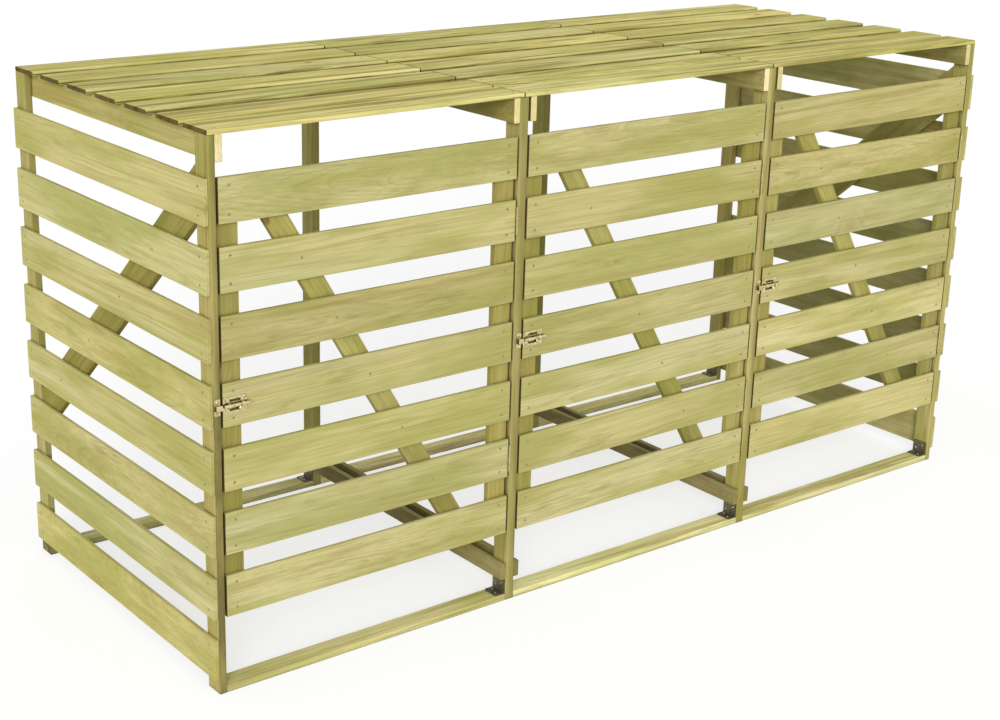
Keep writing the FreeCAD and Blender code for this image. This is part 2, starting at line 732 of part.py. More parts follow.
ground_rails = []
for bay in BAYS:
    for front in POST_ROWS.values():
        measures = ("bay_clear_width", "post_depth", "bottom_rail_thickness")
        ground_rails.append(box("ground_rail", f"bay_left_{bay}", front, "0", *measures))
ground_set = group("ground_rails", ground_rails)
node("bottom_rails", cut("bottom_rails_drilled", ground_set, [frame_holes, bracket_holes]))
for bay in BAYS[:-1]:
    pair = []
    for left in (f"bay_right_{bay} - partition_rail_thickness", f"bay_left_{bay + 1}"):
        measures = ("partition_rail_thickness", "store_depth", "partition_rail_height")
        pair.append(box(f"low_rail_{bay}", left, "front_face", "partition_rail_foot", *measures))
    node(f"partition_rails_{bay}", cut(f"low_rails_{bay}", group(f"low_pair_{bay}", pair), [frame_holes]))

# Roof sections, which meet over the middle of each partition

battens = []
for bay in BAYS:
    derive(f"section_left_{bay}", "frame_left" if bay == BAYS[0] else
           f"bay_left_{bay} - (partition_post_width - roof_seam) / 2")
    derive(f"section_right_{bay}", "frame_right" if bay == BAYS[-1] else
           f"bay_right_{bay} + (partition_post_width - roof_seam) / 2")
    planks = []
    for plank in range(ROOF_PLANK_COUNT):
        measures = (f"section_right_{bay} - section_left_{bay}", "roof_plank_width", "roof_plank_thickness")
        planks.append(box("plank", f"section_left_{bay}", f"plank_front_{plank}", "post_top", *measures))
    section = group(f"planks_{bay}", planks)
    node(f"roof_planks_{bay}", cut(f"planks_drilled_{bay}", section, [roof_holes[bay]]))
    for left in (f"left_batten_{bay}", f"right_batten_{bay}"):
        measures = ("batten_thickness", "store_depth", "batten_height")
        battens.append(box("batten", left, "front_face", "post_top - batten_height", *measures))
node("roof_battens", cut("battens_drilled", group("battens", battens), [frame_holes, *roof_holes.values()]))
node("roof_screws", group("roof_fixings", roof_fixings))
node("frame_screws", group("frame_fixings_group", frame_fixings))
node("corner_brackets", group("brackets", brackets))
node("bracket_screws", group("bracket_fixings", bracket_fixings))

# Doors, each of slats on two stiles and a diagonal brace, which end a little short of the slats

derive("stile_height", "door_height - 2 * stile_inset")
derive("stile_foot", "door_foot + stile_inset")
derive("stile_head", "stile_foot + stile_height")
derive("stile_gap", "bay_clear_width - 2 * door_gap - 2 * stile_width")
derive("brace_head_middle", "door_brace_head_inset + door_brace_cut / 2")
derive("brace_foot_middle", "stile_gap - door_brace_foot_inset - door_brace_cut / 2")
for bay in BAYS:
    derive(f"left_stile_{bay}", f"door_left_{bay}")
    derive(f"right_stile_{bay}", f"door_right_{bay} - stile_width")
    derive(f"brace_left_{bay}", f"left_stile_{bay} + stile_width")
    for level in range(DOOR_SLAT_COUNT):
        for stile in (f"left_stile_{bay}", f"right_stile_{bay}"):
            for height in slat_pairs(level):
                door_screws.drive(f"{stile} + stile_width / 2", "front_face", height, "back")
    for level in DOOR_BRACED_SLAT_INDEXES:
        share = f"(stile_head - slat_middle_{level}) / stile_height"
        across = f"brace_left_{bay} + brace_head_middle + {share} * (brace_foot_middle - brace_head_middle)"
        door_screws.drive(across, "front_face", f"slat_middle_{level}", "back")
    placed, holes = door_screws.take()
    door_holes = group(f"door_holes_{bay}", holes)
    edge_holes = group(f"edge_holes_{bay}", door_hinge_holes[bay])
    latch_holes = group(f"latch_holes_{bay}", plate_holes[bay])
    slats = []
    for level in range(DOOR_SLAT_COUNT):
        measures = (f"door_right_{bay} - door_left_{bay}", "slat_thickness", "slat_width")
        slats.append(box("door_slat", f"door_left_{bay}", "front_face", f"slat_foot_{level}", *measures))
    face = group(f"door_face_{bay}", slats)
    node(f"door_slats_{bay}", cut(f"door_face_drilled_{bay}", face, [door_holes, latch_holes]))
    for side in ("left", "right"):
        measures = ("stile_width", "stile_thickness", "stile_height")
        corner = (f"{side}_stile_{bay}", "front_face + slat_thickness", "stile_foot")
        stile = box(f"{side}_stile_board", *corner, *measures)
        tools = [door_holes, edge_holes] if side == "right" else [door_holes, latch_holes]
        node(f"door_{side}_stile_{bay}", cut(f"{side}_stile_drilled_{bay}", stile, tools))
    body = doc.addObject("PartDesign::Body", f"door_brace_body_{bay}")
    sketch = sketch_on(body, "XZ_Plane", f"door_brace_outline_{bay}")
    outline(sketch, [
        ("stile_gap - door_brace_foot_inset - door_brace_cut", "0"),
        ("stile_gap - door_brace_foot_inset", "0"),
        ("door_brace_head_inset + door_brace_cut", "stile_height"),
        ("door_brace_head_inset", "stile_height"),
    ])
    pad(body, sketch, "door_brace_thickness", reverse=True)
    place(body, f"brace_left_{bay}", "front_face + slat_thickness", "stile_foot")
    node(f"door_brace_{bay}", cut(f"door_brace_drilled_{bay}", body, [door_holes]))
    node(f"door_screws_{bay}", group(f"door_fixings_{bay}", placed))
    node(f"hinge_door_leaves_{bay}", group(f"door_leaf_pair_{bay}", door_leaves[bay]))
    node(f"hinge_door_screws_{bay}", group(f"door_leaf_fixings_{bay}", door_hinge_fixings[bay]))
node("hinge_post_leaves", group("post_leaf_set", post_leaves))
node("hinge_pins", group("pin_set", hinge_pins))
node("hinge_post_screws", group("post_leaf_fixings", post_hinge_fixings))
node("latch_keepers", group("keeper_set", keepers))
node("keeper_screws", group("keeper_fixings", keeper_fixings))

# Check every object and write one file for each sub-part

doc.recompute()
failed = [thing.Name for thing in doc.Objects if "Invalid" in thing.State or "Error" in thing.State]
if failed:
    raise RuntimeError(f"failed objects: {failed}")
for name, piece in nodes.items():
    shape = piece.Shape
    if shape.isNull() or not shape.isValid():
        raise RuntimeError(f"{name} has no valid shape")
for name, piece in nodes.items():
    piece.Shape.exportStep(f"parts/{name}.step")
    print(f"{name}: {len(piece.Shape.Solids)} solids, {piece.Shape.Volume / 1000:.1f} cm3")
print(f"{len(nodes)} sub-parts")
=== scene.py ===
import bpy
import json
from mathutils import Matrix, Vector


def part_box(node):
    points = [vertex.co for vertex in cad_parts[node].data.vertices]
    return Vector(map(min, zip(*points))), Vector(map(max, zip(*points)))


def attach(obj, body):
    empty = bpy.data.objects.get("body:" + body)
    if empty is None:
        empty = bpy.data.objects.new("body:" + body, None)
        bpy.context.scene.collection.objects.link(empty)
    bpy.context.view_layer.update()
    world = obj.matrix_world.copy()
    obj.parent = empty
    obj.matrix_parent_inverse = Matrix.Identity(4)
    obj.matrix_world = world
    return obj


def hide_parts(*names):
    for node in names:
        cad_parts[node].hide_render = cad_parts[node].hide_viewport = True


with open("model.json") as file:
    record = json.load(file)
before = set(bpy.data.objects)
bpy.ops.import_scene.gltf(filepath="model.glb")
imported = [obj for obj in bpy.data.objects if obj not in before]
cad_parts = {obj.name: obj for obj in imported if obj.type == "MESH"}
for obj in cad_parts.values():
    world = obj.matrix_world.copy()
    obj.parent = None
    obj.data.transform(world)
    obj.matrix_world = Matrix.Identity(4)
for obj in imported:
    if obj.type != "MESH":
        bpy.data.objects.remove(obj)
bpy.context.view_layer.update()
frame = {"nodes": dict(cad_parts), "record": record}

import json
import math
import random

import bmesh
import bpy
import numpy as np
from mathutils import Matrix, Vector

# Looks of a three bay store for wheeled bins: sawn softwood boards, zinc plated screws, hinges and barrel
# bolts, and dark corner brackets. Every place and size of a piece is read from the frame.

MM = 0.001
SAME = 0.01 * MM
SHARP_ANGLE = math.radians(35)
scene = bpy.context.scene
record = frame["record"]
body_of = {node: body for body, nodes in record["behaviour"]["bodies"].items() for node in nodes}
slot_of = {part["node"]: part["material_slot"] for part in record["subparts"]}


# Reading the frame

def island_labels(points, edges):
    """A number for each point that is the same for all points joined by edges, welding equal points."""
    _, first, weld = np.unique(np.round(points, 6), axis=0, return_index=True, return_inverse=True)
    weld = weld.reshape(-1)
    group = np.arange(len(first))
    ends = weld[edges]
    while True:
        lowest = group[ends].min(axis=1)
        joined = group.copy()
        np.minimum.at(joined, ends[:, 0], lowest)
        np.minimum.at(joined, ends[:, 1], lowest)
        joined = joined[joined]
        if np.array_equal(joined, group):
            return group[weld]
        group = joined


def mesh_points(mesh):
    points = np.empty(len(mesh.vertices) * 3)
    mesh.vertices.foreach_get("co", points)
    return points.reshape(-1, 3)


def mesh_edges(mesh):
    edges = np.empty(len(mesh.edges) * 2, dtype=int)
    mesh.edges.foreach_get("vertices", edges)
    return edges.reshape(-1, 2)


def solids(node):
    """The separate solids of a CAD node, each as an array of its points."""
    mesh = frame["nodes"][node].data
    points = mesh_points(mesh)
    labels = island_labels(points, mesh_edges(mesh))
    return [points[labels == label] for label in np.unique(labels)]


def extent(points):
    """The lowest and the highest corner of the box round some points."""
    return points.min(0), points.max(0)


def levels(values):
    """The distinct values in rising order, to a hundredth of a millimetre."""
    return np.unique(np.round(values, 5))


# Shapes as pairs of points and faces

def merge(shapes):
    """One shape of several."""
    points, faces, count = [], [], 0
    for shape_points, shape_faces in shapes:
        points.append(np.asarray(shape_points, dtype=float))
        faces += [[index + count for index in face] for face in shape_faces]
        count += len(shape_points)
    return np.vstack(points), faces


def circle(x, y, radius, sides=24):
    """The outline of a circle, anticlockwise."""
    turns = [2 * math.pi * step / sides for step in range(sides)]
    return [(x + radius * math.cos(turn), y + radius * math.sin(turn)) for turn in turns]


def lathe(profile, sides):
    """A shape turned about Z from pairs of radius and height, closed at both ends."""
    points, rings = [], []
    for radius, height in profile:
        if radius == 0:
            rings.append([len(points)] * sides)
            points.append((0, 0, height))
        else:
            rings.append([len(points) + step for step in range(sides)])
            points += [(x, y, height) for x, y in circle(0, 0, radius, sides)]
    faces = []
    for lower, upper in zip(rings, rings[1:]):
        for step in range(sides):
            after = (step + 1) % sides
            corners = [lower[step], lower[after], upper[after], upper[step]]
            faces.append(list(dict.fromkeys(corners)))
    for ring in (rings[0], rings[-1]):
        if len(set(ring)) > 1:
            faces.append(list(ring))
    return np.array(points), faces


def turned(points, matrix):
    """Points after a 4 x 4 matrix."""
    matrix = np.array(matrix)
    return np.asarray(points) @ matrix[:3, :3].T + matrix[:3, 3]


def mesh_of(name, shape):
    """A mesh with outward faces."""
    points, faces = shape
    mesh = bpy.data.meshes.new(name)
    mesh.from_pydata([tuple(point) for point in points], [], faces)
    bm = bmesh.new()
    bm.from_mesh(mesh)
    bmesh.ops.recalc_face_normals(bm, faces=bm.faces)
    bm.to_mesh(mesh)
    bm.free()
    return mesh


def shape_of(bm):
    """The points and faces of a working mesh, which is freed."""
    bm.verts.index_update()
    points = np.array([tuple(vert.co) for vert in bm.verts])
    faces = [[vert.index for vert in face.verts] for face in bm.faces]
    bm.free()
    return points, faces


def show(node, mesh, material):
    """Put a finished mesh in place of its CAD node."""
    mesh.shade_smooth()
    mesh.set_sharp_from_angle(angle=SHARP_ANGLE)
    mesh.materials.append(material)
    piece = bpy.data.objects.new(f"{node}_look", mesh)
    scene.collection.objects.link(piece)
    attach(piece, body_of[node])
    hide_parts(node)
    weighted = piece.modifiers.new("weighted_normals", "WEIGHTED_NORMAL")
    weighted.keep_sharp = True


# Outlines and plates

def round_rectangle(low, high, radius, steps=4):
    """The outline of a rectangle with rounded corners, anticlockwise."""
    corners = (
        (high[0], low[1], -1, 1),
        (high[0], high[1], -1, -1),
        (low[0], high[1], 1, -1),
        (low[0], low[1], 1, 1),
    )
    points = []
    for quarter, (x, y, inward_x, inward_y) in enumerate(corners):
        for step in range(steps + 1):
            angle = math.pi / 2 * (quarter - 1 + step / steps)
            place_x = x + radius * (inward_x + math.cos(angle))
            place_y = y + radius * (inward_y + math.sin(angle))
            points.append((place_x, place_y))
    return points


def arc(x, y, radius, start, end, steps=5):
    """Points along a part of a circle, between two angles in degrees."""
    turns = [math.radians(start + (end - start) * step / steps) for step in range(steps + 1)]
    return [(x + radius * math.cos(turn), y + radius * math.sin(turn)) for turn in turns]


def mirrored(outline):
    """An outline turned over about its first axis."""
    return [(u, -v) for u, v in outline]


def punched(outer, thickness, holes=()):
    """A plate between heights 0 and -thickness; each hole is its outline at the top and at the bottom."""
    bm = bmesh.new()
    sides = []
    for which, height in enumerate((0, -thickness)):
        lines = [outer] + [hole[which] for hole in holes]
        loops = [[bm.verts.new((x, y, height)) for x, y in line] for line in lines]
        edges = [bm.edges.new((loop[index - 1], loop[index])) for loop in loops for index in range(len(loop))]
        bmesh.ops.triangle_fill(bm, use_beauty=True, edges=edges, normal=(0, 0, 1))
        sides.append(loops)
    for top, bottom in zip(*sides):
        for index in range(len(top)):
            bm.faces.new((top[index - 1], top[index], bottom[index], bottom[index - 1]))
    return shape_of(bm)


def softened(shape, width, angle=35, steps=2, chosen=None):
    """A shape with its sharp edges rounded, or only those whose two ends are chosen."""
    points, faces = shape
    bm = bmesh.new()
    verts = [bm.verts.new(point) for point in points]
    for face in faces:
        bm.faces.new([verts[index] for index in face])
    bmesh.ops.recalc_face_normals(bm, faces=bm.faces)
    bmesh.ops.dissolve_limit(bm, angle_limit=math.radians(1), verts=bm.verts, edges=bm.edges)
    edges = [
        edge for edge in bm.edges
        if len(edge.link_faces) == 2 and edge.calc_face_angle() > math.radians(angle)
        and (chosen is None or chosen(*(vert.co for vert in edge.verts)))
    ]
    rounding = {"offset": width, "segments": steps, "profile": 0.5, "affect": "EDGES", "clamp_overlap": True}
    bmesh.ops.bevel(bm, geom=edges, **rounding)
    return shape_of(bm)


def laid(shape, origin, first, second):
    """A flat shape with its own x and y along two directions from an origin."""
    first, second = Vector(first), Vector(second)
    turn = Matrix((first, second, first.cross(second))).transposed().to_4x4()
    points, faces = shape
    return turned(points, Matrix.Translation(Vector(origin)) @ turn), faces


# Node materials

class Shader:
    """A node material under construction."""

    def __init__(self, name):
        self.material = bpy.data.materials.new(name)
        self.material.use_nodes = True
        self.tree = self.material.node_tree
        self.tree.nodes.clear()

    def feed(self, socket, value):
        if isinstance(value, bpy.types.NodeSocket):
            self.tree.links.new(value, socket)
        else:
            socket.default_value = value

    def add(self, kind, output=0, inputs=None, **settings):
        """A node with its settings and inputs, given back as one of its outputs."""
        node = self.tree.nodes.new(f"ShaderNode{kind}")
        for key, setting in settings.items():
            setattr(node, key, setting)
        for key, value in (inputs or {}).items():
            self.feed(node.inputs[key], value)
        return node.outputs[output] if node.outputs else None

    def math(self, operation, *values):
        return self.add("Math", inputs=dict(enumerate(values)), operation=operation)

    def times(self, first, second):
        return self.math("MULTIPLY", first, second)

    def swing(self, value, width):
        """A noise value as a swing to both sides of 0."""
        return self.times(self.math("SUBTRACT", value, 0.5), width)

    def split(self, vector):
        return [self.add("SeparateXYZ", index, {0: vector}) for index in range(3)]

    def stretch(self, parts, factors):
        """Coordinates with each part multiplied by its factor."""
        scaled = [self.times(part, factor) for part, factor in zip(parts, factors)]
        return self.add("CombineXYZ", inputs=dict(enumerate(scaled)))

    def noise(self, parts, along, across, detail=2.0, roughness=0.5):
        """Noise with so many cells per metre along the first part and across it."""
        vector = self.stretch(parts, (along, across, across))
        inputs = {"Vector": vector, "Scale": 1.0, "Detail": detail, "Roughness": roughness}
        return self.add("TexNoise", "Fac", inputs)

    def ramp(self, value, start, end, low=0.0, high=1.0, smooth=True):
        """Value from start to end mapped to low to high, and held there outside."""
        inputs = {"Value": value, "From Min": start, "From Max": end, "To Min": low, "To Max": high}
        return self.add("MapRange", "Result", inputs, interpolation_type="SMOOTHSTEP" if smooth else "LINEAR")

    def mix(self, factor, first, second, blend="MIX"):
        inputs = {0: factor, 6: first, 7: second}
        return self.add("Mix", 2, inputs, data_type="RGBA", blend_type=blend)

    def attribute(self, name, output="Vector"):
        return self.add("Attribute", output, attribute_name=name)

    def nearness(self, distance):
        """How open a place is to its surroundings, from 0 deep in a narrow hollow to 1; it masks the painted
        shade of the materials.
        """
        return self.add("AmbientOcclusion", "AO", {"Distance": distance}, samples=6)

    def surface(self, normal=None, **inputs):
        """Close the material with one surface."""
        named = {key.replace("_", " "): value for key, value in inputs.items()}
        if normal is not None:
            named["Normal"] = normal
        self.add("OutputMaterial", inputs={"Surface": self.add("BsdfPrincipled", "BSDF", named)})
        return self.material


def rgb(red, green, blue):
    return (red, green, blue, 1.0)


def knots(s, parts, board):
    """The knots of a board, the bent grain round them and the rings within them."""
    along, across, _ = parts
    cells = s.stretch((along, across, board[0]), (4.6, 7.4, 31.0))
    inputs = {"Vector": cells, "Scale": 1.0, "Randomness": 0.9}
    distance = s.add("TexVoronoi", "Distance", inputs)
    chance = s.add("SeparateColor", 0, {"Color": s.add("TexVoronoi", "Color", inputs)})
    present = s.ramp(chance, 0.72, 0.74)
    edge = s.math("ADD", distance, s.swing(s.noise(parts, 60, 260), 0.03))
    knot = s.times(s.ramp(edge, 0.085, 0.055), present)
    halo = s.times(s.ramp(distance, 0.34, 0.03), present)
    rings = s.math("MULTIPLY_ADD", s.math("SINE", s.times(edge, 330.0)), 0.5, 0.5)
    return knot, halo, rings


def late_wood(s, parts, board, halo):
    """The dark part of each year ring about the pith, stronger in some places than in others."""
    _, across, through = parts
    radius = s.math("SQRT", s.math("ADD", s.times(across, across), s.times(through, through)))
    bent = s.math("ADD", radius, s.swing(s.noise(parts, 2.1, 10, 3.0), 0.022))
    rings_per_metre = s.ramp(board[1], 0.0, 1.0, 125.0, 240.0, smooth=False)
    year = s.math("FRACT", s.math("ADD", s.times(bent, rings_per_metre), s.times(halo, 2.6)))
    late = s.times(s.math("POWER", year, 3.0), s.ramp(year, 1.0, 0.93))
    return s.times(late, s.ramp(s.noise(parts, 3.0, 16, 1.0), 0.38, 0.66, 0.10, 1.0))


def weather_cracks(s, parts):
    """Fine dark cracks and broader bands along the grain, as strong as a board is weathered."""
    fine = s.ramp(s.noise(parts, 1.3, 82, 4.0, 0.70), 0.53, 0.66, 0.0, 0.88)
    broad = s.ramp(s.noise(parts, 0.9, 46, 2.0, 0.6), 0.55, 0.66, 0.0, 0.70)
    return s.times(s.math("MAXIMUM", fine, broad), s.attribute("weather", "Fac"))


def timber(name):
    """Sawn, pressure treated softwood, with painted shade in crevices and on faces that other parts shade.
    Grain runs along the first part of the grain attribute.
    """
    s = Shader(name)
    parts = s.split(s.attribute("grain"))
    board = s.split(s.attribute("board"))
    end = s.attribute("endgrain", "Fac")
    knot, halo, knot_rings = knots(s, parts, board)
    late = late_wood(s, parts, board, halo)
    fibre = s.noise(parts, 7.0, 620, 4.0, 0.6)
    line = s.noise(parts, 3.2, 170, 3.0, 0.6)
    streak = s.noise(parts, 1.3, 48, 3.0, 0.55)
    pale = s.noise(parts, 1.1, 19, 4.0, 0.6)
    blotch = s.noise(parts, 2.4, 9.5, 3.0, 0.6)
    green = s.noise(parts, 6.0, 26, 4.0, 0.65)
    shade_patchiness = s.noise(parts, 7.0, 16, 3.0, 0.6)
    pores = s.noise(parts, 1500, 1500)
    saw_marks = s.noise(parts, 260, 9, 1.0)

    colour = s.mix(s.ramp(blotch, 0.38, 0.62), rgb(0.640, 0.575, 0.262), rgb(0.468, 0.448, 0.150))
    layers = (
        (s.ramp(pale, 0.50, 0.68, 0.0, 0.55), rgb(0.730, 0.670, 0.380)),
        (s.ramp(streak, 0.54, 0.70, 0.0, 0.60), rgb(0.480, 0.385, 0.150)),
        (s.ramp(green, 0.56, 0.76, 0.0, 0.55), rgb(0.330, 0.310, 0.085)),
        (s.ramp(line, 0.50, 0.72, 0.0, 0.45), rgb(0.360, 0.315, 0.100)),
        (s.times(late, 0.46), rgb(0.330, 0.262, 0.075)),
        (s.ramp(fibre, 0.42, 0.70, 0.0, 0.34), rgb(0.300, 0.255, 0.080)),
        (s.times(halo, 0.30), rgb(0.400, 0.300, 0.090)),
        (weather_cracks(s, parts), rgb(0.190, 0.150, 0.035)),
        (s.times(knot, 0.85), s.mix(knot_rings, rgb(0.150, 0.085, 0.030), rgb(0.290, 0.180, 0.062))),
    )
    for share, layer in layers:
        colour = s.mix(share, colour, layer)

    # The cut ends, the board's own tone and tint, then painted shade where other parts shade a face and
    # painted shade in the crevices
    cut = s.mix(s.ramp(pores, 0.40, 0.70, 0.0, 0.22), s.attribute("end_tone_and_painted_shade", "Color"), rgb(0.30, 0.25, 0.18))
    colour = s.mix(end, colour, s.mix(1.0, colour, cut, "MULTIPLY"))
    colour = s.mix(1.0, colour, s.attribute("tone", "Color"), "MULTIPLY")
    # Painted shade where other parts shade a face, broken into patches
    painted_shade = s.times(s.attribute("painted_shade", "Fac"), s.attribute("fade", "Fac"))
    painted_shade = s.times(painted_shade, s.ramp(shade_patchiness, 0.36, 0.60, 0.60, 1.0))
    colour = s.mix(painted_shade, colour, rgb(0.095, 0.078, 0.025))
    # Painted shade in the crevices, as dark as a place is closed in
    crevice_shade = s.ramp(s.nearness(16 * MM), 0.12, 0.80, 0.93, 0.0)
    colour = s.mix(crevice_shade, colour, rgb(0.050, 0.040, 0.014))

    height = s.math("ADD", s.times(fibre, 0.55), s.times(late, 0.30))
    height = s.math("ADD", height, s.times(saw_marks, 0.18))
    height = s.math("SUBTRACT", height, s.times(s.times(end, pores), 0.5))
    normal = s.add("Bump", "Normal", {"Strength": 0.7, "Distance": 0.6 * MM, "Height": height})
    roughness = s.ramp(streak, 0.3, 0.7, 0.70, 0.86)
    return s.surface(normal, Base_Color=colour, Roughness=roughness, Specular_IOR_Level=0.20)


def metal(name, bright, dull, speck, metallic, roughness):
    """Plated or painted steel, with a mottled finish, small specks and painted shade in its crevices."""
    s = Shader(name)
    parts = s.split(s.add("TexCoord", "Object"))
    cloud = s.noise(parts, 170, 170, 3.0, 0.6)
    grit = s.noise(parts, 1500, 1500)
    colour = s.mix(s.ramp(cloud, 0.35, 0.68), bright, dull)
    colour = s.mix(s.ramp(grit, 0.62, 0.78, 0.0, 0.5), colour, speck)
    # Painted shade in the crevices
    crevice_shade = s.ramp(s.nearness(9 * MM), 0.18, 0.80, 0.93, 0.0)
    colour = s.mix(crevice_shade, colour, rgb(0.030, 0.025, 0.009))
    rough = s.math("ADD", s.ramp(cloud, 0.3, 0.7, -0.07, 0.10), roughness)
    normal = s.add("Bump", "Normal", {"Strength": 0.25, "Distance": 0.2 * MM, "Height": grit})
    return s.surface(normal, Base_Color=colour, Metallic=metallic, Roughness=rough)


WOOD = timber("treated_softwood")
ZINC = metal("yellow_zinc", rgb(0.80, 0.71, 0.40), rgb(0.46, 0.38, 0.17), rgb(0.26, 0.20, 0.09), 1.0, 0.26)
DULL = metal("dulled_zinc", rgb(0.52, 0.45, 0.20), rgb(0.40, 0.34, 0.145), rgb(0.26, 0.22, 0.10), 0.4, 0.60)
# Painted shade: a dark material for the pieces behind the latch windows, standing for the shade seen through
# them
PAINTED_WINDOW_SHADE = metal("latch_window_painted_shade", rgb(0.095, 0.08, 0.03), rgb(0.06, 0.05, 0.018), rgb(0.12, 0.1, 0.04), 0.2, 0.7)
DARK = metal(
    "dark_bracket", rgb(0.19, 0.172, 0.105), rgb(0.105, 0.095, 0.06), rgb(0.26, 0.22, 0.13), 0.7, 0.48)


# Screws. The cross recess is measured in radii of the head, and sunk heads lie a little under the wood.

SCREW_SIDES = 20
CROSS_ARM, CROSS_HALF_WIDTH, CROSS_DEPTH, CROSS_TAPER = 0.50, 0.13, 0.34, 0.72
SINK = 0.20 * MM
SCREW_SEED = 11


def cross_outline(arm, half):
    """The corners of a cross, anticlockwise."""
    quarter = [(arm, -half), (arm, half), (half, half)]
    return [
        (x * math.cos(turn) - y * math.sin(turn), x * math.sin(turn) + y * math.cos(turn))
        for turn in (0, math.pi / 2, math.pi, 3 * math.pi / 2)
        for x, y in quarter
    ]


def bridge(bm, first, second):
    """Faces between two loops with as many points each."""
    for index in range(len(first)):
        after = (index + 1) % len(first)
        bm.faces.new((first[index], first[after], second[after], second[index]))


def screw_shape(profile, head):
    """A screw that points up from a head with a cross recess; its profile runs from head to tip."""
    bm = bmesh.new()
    rim = profile[0][0]
    cross = cross_outline(head * CROSS_ARM, head * CROSS_HALF_WIDTH)
    outer = [bm.verts.new((x, y, 0)) for x, y in circle(0, 0, rim, SCREW_SIDES)]
    inner = [bm.verts.new((x, y, 0)) for x, y in cross]
    edges = []
    for loop in (outer, inner):
        edges += [bm.edges.new((vert, loop[(index + 1) % len(loop)])) for index, vert in enumerate(loop)]
    bmesh.ops.triangle_fill(bm, use_beauty=True, edges=edges, normal=(0, 0, -1))
    floor = [bm.verts.new((x * CROSS_TAPER, y * CROSS_TAPER, head * CROSS_DEPTH)) for x, y in cross]
    bridge(bm, inner, floor)
    bm.faces.new(floor)
    previous = outer
    for radius, height in profile[1:-1]:
        loop = [bm.verts.new((vert.co.x * radius / rim, vert.co.y * radius / rim, height)) for vert in outer]
        bridge(bm, previous, loop)
        previous = loop
    tip = bm.verts.new((0, 0, profile[-1][1]))
    for index, vert in enumerate(previous):
        bm.faces.new((vert, previous[(index + 1) % len(previous)], tip))
    return shape_of(bm)


class ScrewPlace:
    """Where a CAD screw sits: the middle of its head's face, the way it points, and its measures."""

    def __init__(self, points):
        low, high = extent(points)
        axis = int(np.argmax(high - low))
        middle = (low + high) / 2
        spread = np.delete(points - middle, axis, axis=1)
        radii = np.hypot(spread[:, 0], spread[:, 1])
        at_low = radii[np.abs(points[:, axis] - low[axis]) < SAME].max()
        at_high = radii[np.abs(points[:, axis] - high[axis]) < SAME].max()
        head_low = at_low > at_high
        self.head = middle.copy()
        self.head[axis] = low[axis] if head_low else high[axis]
        self.way = np.zeros(3)
        self.way[axis] = 1 if head_low else -1
        self.length = high[axis] - low[axis]
        heights = np.abs(points[:, axis] - self.head[axis])
        self.head_radius = max(at_low, at_high)
        self.shank_radius = radii[heights > self.length / 2].max()
        self.head_depth = heights[radii < self.shank_radius + 0.05 * MM].min()
        wide = heights[radii > self.head_radius - 0.05 * MM]
        self.sunk = wide.max() < 0.1 * MM

    def profile(self):
        """Pairs of radius and height from head to tip: a sunk cone or a low dome, and the shank."""
        head, shank, depth = self.head_radius, self.shank_radius, self.head_depth
        if self.sunk:
            top = [(head - 0.2 * MM, 0), (head - 0.04 * MM, 0.12 * MM), (head - 0.05 * MM, 0.3 * MM)]
            neck = [(shank + 0.25 * MM, depth * 0.92), (shank, depth + 0.3 * MM)]
        else:
            top = [(head * 0.62, 0.04 * MM), (head * 0.82, depth * 0.18), (head * 0.94, depth * 0.45)]
            top += [(head * 0.99, depth * 0.75), (head * 0.97, depth)]
            neck = [(shank, depth)]
        return top + neck + [(shank, self.length - 2 * shank), (0, self.length)]

    def matrix(self, spin, sink):
        """From a screw that points up at the origin to its place, turned about its axis and driven in."""
        way = Vector(self.way)
        turn = Vector((0, 0, 1)).rotation_difference(way).to_matrix().to_4x4()
        spot = Vector(self.head) + way * sink
        return Matrix.Translation(spot) @ turn @ Matrix.Rotation(spin, 4, "Z")


screw_nodes = [node for node in body_of if "screws" in node]
screw_places = {node: [ScrewPlace(points) for points in solids(node)] for node in screw_nodes}
rng = random.Random(SCREW_SEED)
for node in screw_nodes:
    shapes = []
    masters = {}
    for place in screw_places[node]:
        key = (round(place.length / MM, 2), round(place.head_radius / MM, 2))
        if key not in masters:
            masters[key] = screw_shape(place.profile(), place.head_radius)
        in_wood = place.sunk and "hinge" not in node
        points, faces = masters[key]
        shapes.append((turned(points, place.matrix(rng.uniform(0, math.pi), SINK if in_wood else 0)), faces))
    in_boards = node.startswith(("side", "roof", "frame", "door", "hinge"))
    show(node, mesh_of(node, merge(shapes)), DULL if in_boards else ZINC)


# Boards. The tables go by a word in a node's name, and the first word that fits counts.

BOARD_SEED = 100
HOLE_CLEARANCE = 0.10 * MM
HOLE_LIP = 0.25 * MM
# Tints of the nodes' colours. The stiles, the braces and the partition rails are darkened with painted shade,
# for the shade they lie in behind the slats and inside the store
TINTS_AND_PAINTED_LIGHT = {
    "post": (0.85, 0.82, 0.65),
    "roof_planks": (1.37, 1.36, 1.12),
    "roof_battens": (1.02, 0.98, 0.76),
    "side_slats": (1.10, 1.11, 1.04),
    "door_slats": (1.04, 1.04, 1.00),
    "stile": (0.74, 0.70, 0.49),
    "left_side_brace": (0.61, 0.58, 0.33),
    "brace": (0.87, 0.86, 0.57),
    # Painted light: the bottom rails are lightened against the shade that the doors cast on their tops
    "bottom_rails": (1.60, 1.62, 1.66),
    "partition_rails": (0.74, 0.70, 0.66),
}
# Tones of the cut ends; that of the door slats is partly painted shade, for the gap between door and post
END_TONES_AND_PAINTED_SHADE = {
    "roof_planks": (0.20, 0.16, 0.11),
    "side_slats": (0.94, 0.92, 0.88),
    "door_slats": (0.24, 0.20, 0.14),
    "battens": (1.90, 1.80, 3.00),
    "rails": (0.80, 0.75, 0.60),
}
WEATHER = {"roof_planks": 1.0, "bottom_rails": 0.55, "post": 0.35}
